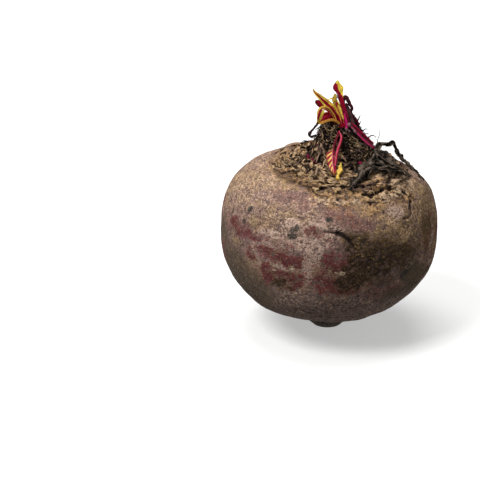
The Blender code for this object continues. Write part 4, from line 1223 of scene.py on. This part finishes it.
def make_chips(crown):
    """Torn plates of old leaf bases that lie on the crown, one edge lifted. They are larger
    at the left front, small on the right. Long fibres lie over them."""
    draw = np.random.default_rng(17)
    heap = Heap()
    around = unit(np.roll(crown.base, -1, axis=1) - np.roll(crown.base, 1, axis=1))
    rows = np.argwhere((crown.cork > 0.6) & (crown.out > 15 * MM))
    t = np.linspace(-0.5, 0.5, 8)
    for _ in range(CROWN_CHIPS):
        row, column = rows[draw.integers(len(rows))]
        out = crown.out[row, column]
        front = float(sunny(crown.crown_azimuth[row, column]))
        if draw.random() < smooth_step(out, 19 * MM, 30 * MM) * (0.92 - 0.3 * front):
            continue
        point, normal, side = (grid[row, column] for grid in (crown.points, crown.normals, around))
        near = smooth_step(25 * MM - out, 0.0, 6 * MM)
        turn = draw.normal(0.0, 0.35 + 0.5 * near)
        along = math.cos(turn) * side + math.sin(turn) * unit(np.cross(normal, side))
        lean = draw.uniform(-0.1, 0.7) * (0.35 + 0.65 * near)
        back = unit(np.cross(normal, along))
        face = math.cos(lean) * normal - math.sin(lean) * back
        large = draw.uniform(1.2, 1.7) if front > 0.2 and draw.random() < 0.45 else 1.0
        length = draw.uniform(1.6, 3.6) * MM * large
        half = draw.uniform(0.30, 0.70) * MM * large
        bend = draw.normal(0.0, 0.45) * MM * (4 * t**2)[:, None] * back
        rise = draw.normal(0.0, 0.35) * MM * t[:, None] * normal
        lift = (0.12 * MM + half * abs(math.sin(lean)) * 0.7) * normal
        route = point + along * (length * t)[:, None] + lift + bend + rise
        ragged = 1 + 0.45 * lumps(route + 5 * point, 0.9 * MM, 3)
        shape = (1.15 - 4 * t**2) ** 0.5 * ragged
        points, faces = swept(route, half * shape, draw.uniform(0.06, 0.13) * MM, face)
        jagged = 0.16 * MM * shaken(points, 1 * MM, (1, 2, 3), 2)
        tone = draw.uniform(0.28, 0.95) if draw.random() < 0.55 else draw.uniform(0.0, 0.22)
        heap.add((points + jagged, faces), tone)
    for _ in range(CROWN_FIBRES):
        row, column = rows[draw.integers(len(rows))]
        steps = np.arange(0, draw.integers(14, 42), 3)
        over = np.clip(np.round(row + draw.normal(0.0, 0.4) * steps), 0, len(crown.points) - 1).astype(int)
        along = (column + steps) % crown.points.shape[1]
        lift = draw.uniform(0.1, 0.5) * MM * np.sin(np.linspace(0.2, 2.9, len(steps)))
        route = crown.points[over, along] + crown.normals[over, along] * lift[:, None]
        half = draw.uniform(0.10, 0.26) * MM * np.linspace(1.0, 0.5, len(steps))
        tone = draw.choice((0.0, 0.05, 0.3, 0.6, 0.9))
        heap.add(swept(route, half, half * 0.5, crown.normals[row, column]), tone)
    finish = dry_finish("scar_chips", (0.018, 0.010, 0.006), (0.57, 0.39, 0.22), tint=(0.31, 0.20, 0.14))
    heap.piece("scar_chips", finish, "root_skin", torn=True)


def neck_radius(climb):
    return NECK_FOOT_RADIUS + (NECK_TOP_RADIUS - NECK_FOOT_RADIUS) * climb


def neck_point(azimuth, climb, out):
    """Points of the neck: climb runs from 0 at its foot to 1 at its top, out is off its side."""
    azimuth, climb, out = np.broadcast_arrays(azimuth, climb, out)
    radius = neck_radius(np.sign(climb) * np.abs(climb) ** 0.8) + out
    point = ringed(radius, azimuth, seat_height() + GAP + NECK_HEIGHT * climb)
    return leant(point + SEAT_SHIFT + NECK_BEND * climb[..., None])


def neck_normal(azimuth, climb):
    return unit(neck_point(azimuth, climb, 1 * MM) - neck_point(azimuth, climb, 0.0))


def sunny(azimuth):
    """1 on the neck's tan left front, 0 on its dark right side. The left front faces the key lamp,
    so the tones that follow this are partly the neck's own and partly painted light and shade.
    """
    return turned_to(azimuth, -150, 0.30, 0.95)


def make_neck_core():
    azimuth = circle(240)
    rings = [neck_point(azimuth, -0.06, -3 * MM)]
    for climb in np.linspace(-0.03, 1.0, 90):
        row = min(int(max(climb, 0.0) * NECK_ROWS), NECK_ROWS - 1)
        share = climb * NECK_ROWS - row
        pad = np.abs(np.sin(0.5 * (BASES_IN_LOW_ROW - row) * azimuth + row * GOLDEN_ANGLE))
        out = ((0.9 - 0.8 * np.clip(share, 0, 1)) * pad - 0.4) * 1.2 * MM
        strands = rough(around_domain(azimuth, np.full_like(azimuth, climb), 70, 0.2), 1.0, 3, 3)
        rings.append(neck_point(azimuth, climb, out - 1.0 * MM + 0.9 * MM * strands))
    rings += [neck_point(azimuth, 1.02, -2.5 * MM), neck_point(azimuth, 1.0, -5.5 * MM)]
    rings = np.array(rings)
    height = np.linspace(-0.06, 1.0, len(rings))[:, None]
    # Paler low on the left front: partly the neck's own tan and partly painted light from the key lamp's
    # side
    tone = 0.35 * sunny(azimuth) * smooth_step(height, 0.9, 0.3) + 0.2 * lumps(rings, 2.4 * MM, 9)
    finish = dry_finish("neck_core", (0.005, 0.004, 0.003), (0.085, 0.050, 0.036))
    piece("neck_core", banded(rings), finish, {"tone": tone}, ("crown_neck",))


def surface_route(azimuth, climb, heading, curl, length, lift):
    """A strand's way over the neck: it starts in its side, turns by curl as it goes and
    rises off it by lift, which has a number for each of its points."""
    angle = heading + curl * np.linspace(0.0, 1.0, len(lift))
    step = length / (len(lift) - 1)
    up = np.concatenate(([0.0], np.cumsum(np.cos(angle[:-1])))) * step
    side = np.concatenate(([0.0], np.cumsum(np.sin(angle[:-1])))) * step
    climbs = np.clip(climb + up / (NECK_HEIGHT * 1.15), -0.02, 1.12)
    return neck_point(azimuth + side / neck_radius(climb), climbs, lift)


def add_scale(heap, azimuth, climb, route, wide, thick, tone):
    """A small woody scale over a route on the neck, a little crumpled."""
    points, faces = swept(route, wide, thick, neck_normal(azimuth, climb))
    heap.add((points + 0.28 * MM * shaken(points, 1.3 * MM, (1, 2, 3)), faces), tone)


def make_dry_bases():
    """Woody chips of old leaf bases, big and tan low on the left front, few and dark
    elsewhere, then low scales that lie crosswise round the front. The chips' tones are
    partly painted light: paler on the key lamp's side."""
    draw = np.random.default_rng(29)
    heap = Heap()
    t = np.linspace(0.0, 1.0, 8)
    arch = np.sin(math.pi * t)
    shape = (0.55 + 0.45 * arch) * (1 - 0.5 * t**3)
    for rank in range(NECK_CHIPS):
        azimuth = rank * GOLDEN_ANGLE + draw.normal(0.0, 0.08)
        climb = draw.beta(1.1, 1.7) * 0.95 - 0.04
        # light: the key lamp's side, where chips are more, bigger and paler; the paleness is partly painted
        # light
        light = float(sunny(azimuth)) * smooth_step(climb, 0.85, 0.4)
        if draw.random() > 0.4 + 0.6 * light:
            continue
        length = draw.uniform(2.6, 5.6) * MM
        tip = draw.uniform(0.1, 1.9) * MM
        lift = -0.6 * MM + (tip + 0.6 * MM) * t**1.5 + draw.uniform(0.0, 0.7) * MM * arch
        heading = draw.normal(0.0, 0.75) + draw.choice((0.0, 0.0, math.pi))
        route = surface_route(azimuth, climb, heading, draw.normal(0.0, 0.5), length, lift)
        wide = draw.uniform(0.25, 0.5 + 0.35 * light) * MM * shape
        thick = draw.uniform(0.08, 0.18) * MM * shape
        add_scale(heap, azimuth, climb, route, wide, thick, draw.beta(0.8, 1.3) * (0.25 + 1.2 * light))
    shape = 0.4 + 0.6 * arch
    for _ in range(NECK_SCALES):
        azimuth = math.radians(draw.uniform(-112.0, -18.0))
        climb = draw.beta(1.0, 1.5) * 0.62 - 0.03
        length = draw.uniform(1.4, 3.6) * MM
        lift = draw.uniform(0.2, 1.5) * MM + 0.4 * MM * arch
        heading = draw.choice((-1.0, 1.0)) * math.pi / 2 + draw.normal(0.0, 0.45)
        route = surface_route(azimuth, climb, heading, draw.normal(0.0, 0.6), length, lift)
        wide = draw.uniform(0.2, 0.6) * MM * shape
        tone = draw.choice((0.03, 0.2, 0.4, 0.6)) * draw.uniform(0.8, 1.2)
        add_scale(heap, azimuth, climb, route, wide, 0.12 * MM * shape, tone)
    finish = dry_finish("dry_bases", (0.010, 0.005, 0.004), (0.46, 0.30, 0.17), tint=(0.30, 0.19, 0.14))
    heap.piece("dry_bases", finish, "neck_fibre", torn=True)


def make_fibres():
    """The mat of curly fibres over the neck, with looser loops down its dark right side. Fewer
    fibres are bright on that side, partly as painted shade.
    """
    draw = np.random.default_rng(31)
    heap = Heap()
    t = np.linspace(0.0, 1.0, 10)
    taper = np.linspace(1.0, 0.4, 10)
    for rank in range(NECK_FIBRES):
        azimuth = rank * GOLDEN_ANGLE + draw.normal(0.0, 0.2)
        light = float(sunny(azimuth))
        climb = draw.beta(1.9 if light > 0.3 else 1.3, 1.0) * 1.03
        if draw.random() < light * smooth_step(climb, 0.6, 0.3) * 0.85:
            continue
        stray = draw.random() < 0.07
        length = draw.uniform(2.0, 6.5) * MM
        top = draw.uniform(0.2, 1.4) * MM
        end = draw.uniform(1.4, 3.0) * MM if stray else draw.uniform(-0.8, 1.2) * MM
        curl = draw.normal(0.0, 2.8)
        heading = draw.uniform(0.0, 2 * math.pi)
        half = draw.uniform(0.10, 0.36) * MM
        if light < 0.1 and draw.random() < 0.2:
            length = draw.uniform(4.0, 7.0) * MM
            heading = math.pi + draw.normal(0.0, 0.8)
            curl = draw.normal(0.0, 2.4)
            half = draw.uniform(0.2, 0.42) * MM
        lift = -0.6 * MM + top * np.sin(math.pi * t) ** 0.7 + (end + 0.2 * MM) * t**2
        route = surface_route(azimuth, climb, heading, curl, length, lift)
        # More bright fibres on the key lamp's side: partly the neck's own tan and partly painted light
        bright = draw.random() < 0.15 + 0.28 * light
        tone = draw.uniform(0.3, 0.65 + 0.35 * light) if bright else draw.uniform(0.0, 0.16)
        heap.add(swept(route, half * taper, half * taper * 0.5, neck_normal(azimuth, climb)), tone)
    t = np.linspace(0.0, 1.0, 12)
    for rank in range(NECK_LOOPS):
        start = math.radians(-84 + 2.4 * rank + draw.normal(0.0, 2.0))
        top = draw.uniform(0.55, 0.92)
        drop = draw.uniform(0.22, 0.45)
        bulge = draw.uniform(0.12, 0.42)
        lifted = (0.4 + draw.uniform(0.2, 0.9) * np.sin(math.pi * t)) * MM
        route = neck_point(start + bulge * np.sin(math.pi * t), top - drop * t, lifted)
        half = draw.uniform(0.14, 0.28) * MM * np.linspace(1.0, 0.6, 12)
        route = route + 0.3 * MM * shaken(route, 2 * MM, (4, 5, 6))
        tone = draw.choice((0.06, 0.3, 0.5, 0.75))
        heap.add(swept(route, half, half * 0.6, neck_normal(start, top - 0.5 * drop)), tone)
    finish = dry_finish("neck_fibres", (0.007, 0.004, 0.003), (0.44, 0.30, 0.17), 2 * MM, (0.26, 0.18, 0.15))
    heap.piece("neck_fibres", finish, "neck_fibre")


def make_leaf(name, finish, stations, facing, slot, cup, wave, folds, widen):
    """A thin blade on its midrib, with cupped, rippled and, if asked for, folded halves."""
    rows = smoothed(stations, 9) * np.array((MM, MM, MM, MM * widen[0], MM * widen[1]))
    middle, reaches = rows[:, :3], np.maximum(rows[:, 3:], 0.12 * MM)
    _, side, normal = course(middle, facing)
    across = np.linspace(-1.0, 1.0, 21)
    reach = np.where(across < 0, reaches[:, :1], reaches[:, 1:])
    t = np.linspace(0.0, 1.0, len(rows))[:, None]
    ripple = wave * np.sin(0.47 * np.arange(len(rows))[:, None] + 1.5 * across)
    crease = folds * (np.abs(np.sin(4.2 * across + 1.2 * np.sin(5 * t))) - 0.5)
    lift = reach * (across**2 * (cup + ripple) + crease)
    centre = middle[:, None] + side[:, None] * (reach * across)[..., None]
    centre = centre + normal[:, None] * lift[..., None]
    crumple = 0.16 * MM * rough(centre, 1.2 * MM, 2, 13) * np.minimum(1.0, np.abs(across) + 0.3)
    half = 0.09 * MM + 0.32 * MM * np.exp(-((across / 0.32) ** 2)) * np.minimum(1.0, reach / (0.9 * MM))
    spread = np.tile(np.concatenate((across, across[::-1])), (len(rows), 1))
    marks = {"across": spread, "along": np.broadcast_to(t, spread.shape)}
    piece(name, banded(sheet(centre, normal, crumple, half)), finish, marks)


def make_stalk(
    name, stations, finish, groove=0.0, knobs=0.0, facing=(0.0, -1.0, 0.3), sides=20, fat=1.0
):
    """A round stalk along its middle, with two grooves as a share of its radius."""
    rows = smoothed(stations, 9) * MM
    route, radius = rows[:, :3], np.maximum(rows[:, 3] * fat, 0.12 * MM)
    along, side, normal = course(route, facing)
    turn = -circle(sides)
    r = radius[:, None] * (1 - groove * np.sin(turn) ** 6)
    rings = side[:, None] * np.cos(turn)[:, None] + normal[:, None] * np.sin(turn)[:, None]
    rings = route[:, None] + rings * r[..., None]
    rings = rings + (rings - route[:, None]) * (knobs * rough(rings, 1.1 * MM, 2, 19))[..., None]
    foot, tip = (
        route[end] + 0.25 * (rings[end] - route[end]) + way * radius[end] * unit(along[end])
        for end, way in ((0, -0.3), (-1, 0.3))
    )
    rings = np.concatenate((foot[None], rings, tip[None]))
    t = np.broadcast_to(np.linspace(0.0, 1.0, len(rings))[:, None], rings.shape[:2])
    marks = {"across": np.tile(np.cos(turn), (len(rings), 1)), "along": t, "tone": 0.3 + 0 * t}
    piece(name, banded(rings), finish, marks)


def make_young_leaves():
    for finish in (
        ribbed_leaf("leaf_tall", YELLOW, LEAF_CRIMSON, -0.75, 0.85, 1.6, 1.4, foot=MAGENTA),
        ribbed_leaf("leaf_lance", YELLOW, LEAF_CRIMSON, -0.10, 0.36, 0.25, foot=LEAF_CRIMSON),
        folded_leaf("leaf_inner", YELLOW, (0.20, 0.018, 0.012), 2.1),
        ribbed_leaf("leaf_spoon", DEEP_CRIMSON, LEAF_CRIMSON, 0.3, 0.25, edge=DARK_PURPLE),
        ribbed_leaf("leaf_arch", (0.84, 0.52, 0.09), (0.36, 0.05, 0.02), -0.35, 0.26, 0.2),
        ribbed_leaf("leaf_low", ORANGE, LEAF_CRIMSON, 0.0, 0.76, 0.6, 0.4),
        striped_leaf("leaf_striped"),
    ):
        make_leaf(finish.name, finish, *BLADES[finish.name])
    bud = fresh_stalk("leaf_bud", (0.74, 0.50, 0.10), (0.34, 0.18, 0.03), 0.8)
    make_stalk("leaf_bud", LEAF_BUD, bud, knobs=0.8, fat=0.9, sides=28)


def make_leaf_bases():
    """The small shoots and petiole bases crowded between the young leaves."""
    finishes = {tone: fresh_stalk(f"shoot_{tone}", *look) for tone, look in SHOOT_LOOKS.items()}
    for number, (tone, stations) in enumerate(SHOOTS, start=1):
        knobs = 0.6 if tone == "mauve" else 0.25
        make_stalk(f"shoot_{number}", stations, finishes[tone], groove=0.25, knobs=knobs)


def make_petioles():
    # The third colour of each is the painted highlight's
    pink = channelled_stalk("petiole_pink", (0.72, 0.012, 0.150), (0.16, 0.005, 0.024), (0.62, 0.16, 0.26))
    red = channelled_stalk("petiole_red", (0.56, 0.010, 0.062), (0.15, 0.004, 0.018), (0.60, 0.14, 0.18))
    make_stalk("petiole_right", PETIOLE_RIGHT, pink, groove=0.35, knobs=0.12, fat=0.9)
    make_stalk("petiole_front", PETIOLE_FRONT, red, groove=0.2, knobs=0.12)


def make_dry_strands():
    dark = dry_finish("strand_dark", (0.008, 0.006, 0.006), (0.10, 0.050, 0.050), 0.9 * MM)
    wilted = fresh_stalk("leaf_wilted", (0.17, 0.040, 0.055), (0.018, 0.006, 0.008), 0.9, 0.7)
    make_stalk("leaf_wilted", LEAF_WILTED, wilted, groove=0.45, knobs=0.3, fat=1.25)
    stalk = dry_finish("dry_stalk", (0.010, 0.004, 0.005), (0.28, 0.015, 0.045), 0.9 * MM)
    make_stalk("dry_stalk", DRY_STALK, stalk, groove=0.45, knobs=0.25, fat=0.75)
    make_stalk("loop_strand", LOOP_STRAND, dark, knobs=0.5, sides=8)
    heap = Heap()
    for stations in HAIRS:
        rows = smoothed(stations) * MM
        heap.add(swept(rows[:, :3], rows[:, 3], rows[:, 3], (0.1, -1.0, 0.2), 5), 0.12)
    heap.piece("stray_hairs", dark, "strand_dark")


def crumpled(stations, facing, seed):
    """A withered strip, thin, folded lengthwise and crumpled, and its tones: a paler rib, and fold
    crests paler than their valleys, which is painted light and shade.
    """
    rows = smoothed(stations, 10) * MM
    middle, reaches = rows[:, :3], np.maximum(rows[:, 3:], 0.2 * MM)
    _, side, normal = course(middle, facing)
    across = np.linspace(-1.0, 1.0, 25)
    reach = np.where(across < 0, reaches[:, :1], reaches[:, -1:])
    notch = 1 + 0.3 * lumps(middle[:, None] + np.sign(across)[:, None] * 3 * MM, 1.6 * MM, seed)
    reach = reach * notch
    turn = 3.6 * across + 1.1 * np.sin(0.21 * np.arange(len(rows)))[:, None] + seed
    fold = 0.34 * reach * np.cos(turn) + 0.2 * reach * across**2
    flat = middle[:, None] + side[:, None] * (0.95 * reach * across)[..., None]
    crinkle = 0.8 * MM * rough(flat, 2.1 * MM, 3, seed) * np.minimum(1.0, reach / (1.2 * MM))
    half = 0.14 * MM + 0.16 * MM * np.exp(-((across / 0.15) ** 2))
    rings = sheet(flat, normal, fold + crinkle, half)
    spread = np.concatenate((across, across[::-1]))
    edge = 0.3 * smooth_step(np.abs(spread), 0.82, 1.0) + 0.5 * np.exp(-((spread / 0.08) ** 2))
    # Paler on the folds' crests and darker in their valleys: painted light and shade
    fold_light = 0.24 * np.cos(np.concatenate((turn, turn[:, ::-1]), axis=1))
    tone = 0.26 + 0.5 * rough(rings, 1.1 * MM, 3, seed + 5) + fold_light + edge
    return banded(rings), tone.ravel()


def make_withered_leaf():
    heap = Heap()
    draw = np.random.default_rng(37)
    t = np.linspace(0.0, 1.0, 7)[:, None]
    for stations, facing, seed in WITHERED_STRIPS:
        heap.add(*crumpled(stations, facing, seed))
        route = smoothed(stations, 4)[:, :3] * MM
        for _ in range(TATTERS_A_STRIP):
            start = route[draw.integers(1, len(route) - 1)]
            way = unit(draw.normal(0.0, 1.0, 3) * (1.0, 1.0, 0.35) + (0.0, 0.0, -0.2))
            bend = unit(draw.normal(0.0, 1.0, 3)) * draw.uniform(0.4, 1.2) * MM
            tatter = start + way * draw.uniform(1.0, 3.4) * MM * t + bend * t**2
            wide = draw.uniform(0.12, 0.45) * MM * (1 - 0.8 * t[:, 0])
            thick = 0.12 * MM * (1 - 0.6 * t[:, 0])
            heap.add(swept(tatter, wide, thick, STRIP_FACING), draw.uniform(0.1, 0.9))
    finish = dry_finish("withered_leaf", (0.006, 0.005, 0.004), (0.150, 0.113, 0.086), 0.9 * MM)
    heap.piece("withered_leaf", finish, "withered_dark")


def make_buds():
    finish = fresh_stalk("bud_crimson", (0.26, 0.006, 0.050), DARK_PURPLE, 0.95)
    for number, (middle, radius, way) in enumerate(BUDS, start=1):
        along = np.array(way) / np.linalg.norm(way) * radius
        stations = [(*(np.array(middle) + along * at), radius * wide) for at, wide in BUD_STEPS]
        make_stalk(f"bud_{number}", stations, finish, 0.2, 0.3, facing=(1.0, 0.2, 0.1))


def make_stage():
    floor = Finish("floor_pale", roughness=0.9)
    floor.colour((0.62, 0.62, 0.615))
    floor.surface.inputs["Emission Color"].default_value = (1.0, 1.0, 1.0, 1.0)
    floor.surface.inputs["Emission Strength"].default_value = 0.42  # a table lit from below
    reach = 4.0
    corners = [(-reach, -reach, 0.0), (reach, -reach, 0.0), (reach, reach, 0.0), (-reach, reach, 0.0)]
    mesh = bpy.data.meshes.new("floor")
    mesh.from_pydata(corners, [], [(0, 1, 2, 3)])
    mesh.materials.append(floor.material)
    made = linked("floor", mesh)
    made.visible_diffuse = False  # so that the pale floor doesn't light the beet's underside


def aimed(kind, data, place, target):
    made = linked(kind, data)
    made.location = place
    made.rotation_euler = (Vector(target) - Vector(place)).to_track_quat("-Z", "Y").to_euler()
    return made


def make_lights():
    lamps = (
        ("key", (-0.62, -0.42, 0.95), 0.50, 13.0),
        ("top", (-0.05, 0.30, 1.20), 0.90, 12.0),
        ("fill", (0.90, -0.60, 0.45), 0.70, 1.2),
    )
    for name, place, size, power in lamps:
        lamp = bpy.data.lights.new(name, "AREA")
        lamp.size = size
        lamp.energy = power
        aimed(name, lamp, place, (0.0, 0.0, 0.05))
    world = bpy.data.worlds.new("studio")
    world.use_nodes = True
    sky = world.node_tree.nodes["Background"]
    sky.inputs["Color"].default_value = (1.0, 1.0, 1.0, 1.0)
    sky.inputs["Strength"].default_value = 0.18
    bpy.context.scene.world = world


def make_camera():
    right = Vector((1.0, 0.0, 0.0))
    up = Vector((0.0, math.sin(VIEW_ELEVATION), math.cos(VIEW_ELEVATION)))
    back = right.cross(up)
    off_x = (MIDDLE_PIXEL[0] - FRAME_PIXELS / 2) * PIXEL
    off_y = (FRAME_PIXELS / 2 - MIDDLE_PIXEL[1]) * PIXEL
    aim = MIDDLE - right * off_x - up * off_y
    camera = bpy.data.cameras.new("camera")
    camera.sensor_width = SENSOR_MM
    camera.lens = SENSOR_MM * VIEW_DISTANCE / (FRAME_PIXELS * PIXEL)
    camera.clip_start = 0.05
    camera.clip_end = 20.0
    bpy.context.scene.camera = aimed("camera", camera, aim + back * VIEW_DISTANCE, aim)
    bpy.context.scene.view_settings.view_transform = "Standard"


def main():
    make_camera()
    make_lights()
    make_stage()
    crown = make_root()
    make_chips(crown)
    make_neck_core()
    make_dry_bases()
    make_fibres()
    make_young_leaves()
    make_leaf_bases()
    make_petioles()
    make_dry_strands()
    make_withered_leaf()
    make_buds()


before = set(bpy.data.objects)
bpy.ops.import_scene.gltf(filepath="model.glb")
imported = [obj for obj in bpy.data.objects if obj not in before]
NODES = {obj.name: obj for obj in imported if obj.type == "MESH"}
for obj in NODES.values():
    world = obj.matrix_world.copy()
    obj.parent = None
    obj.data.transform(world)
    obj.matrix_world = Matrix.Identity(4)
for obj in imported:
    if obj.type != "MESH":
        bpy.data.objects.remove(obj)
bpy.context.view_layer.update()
main()
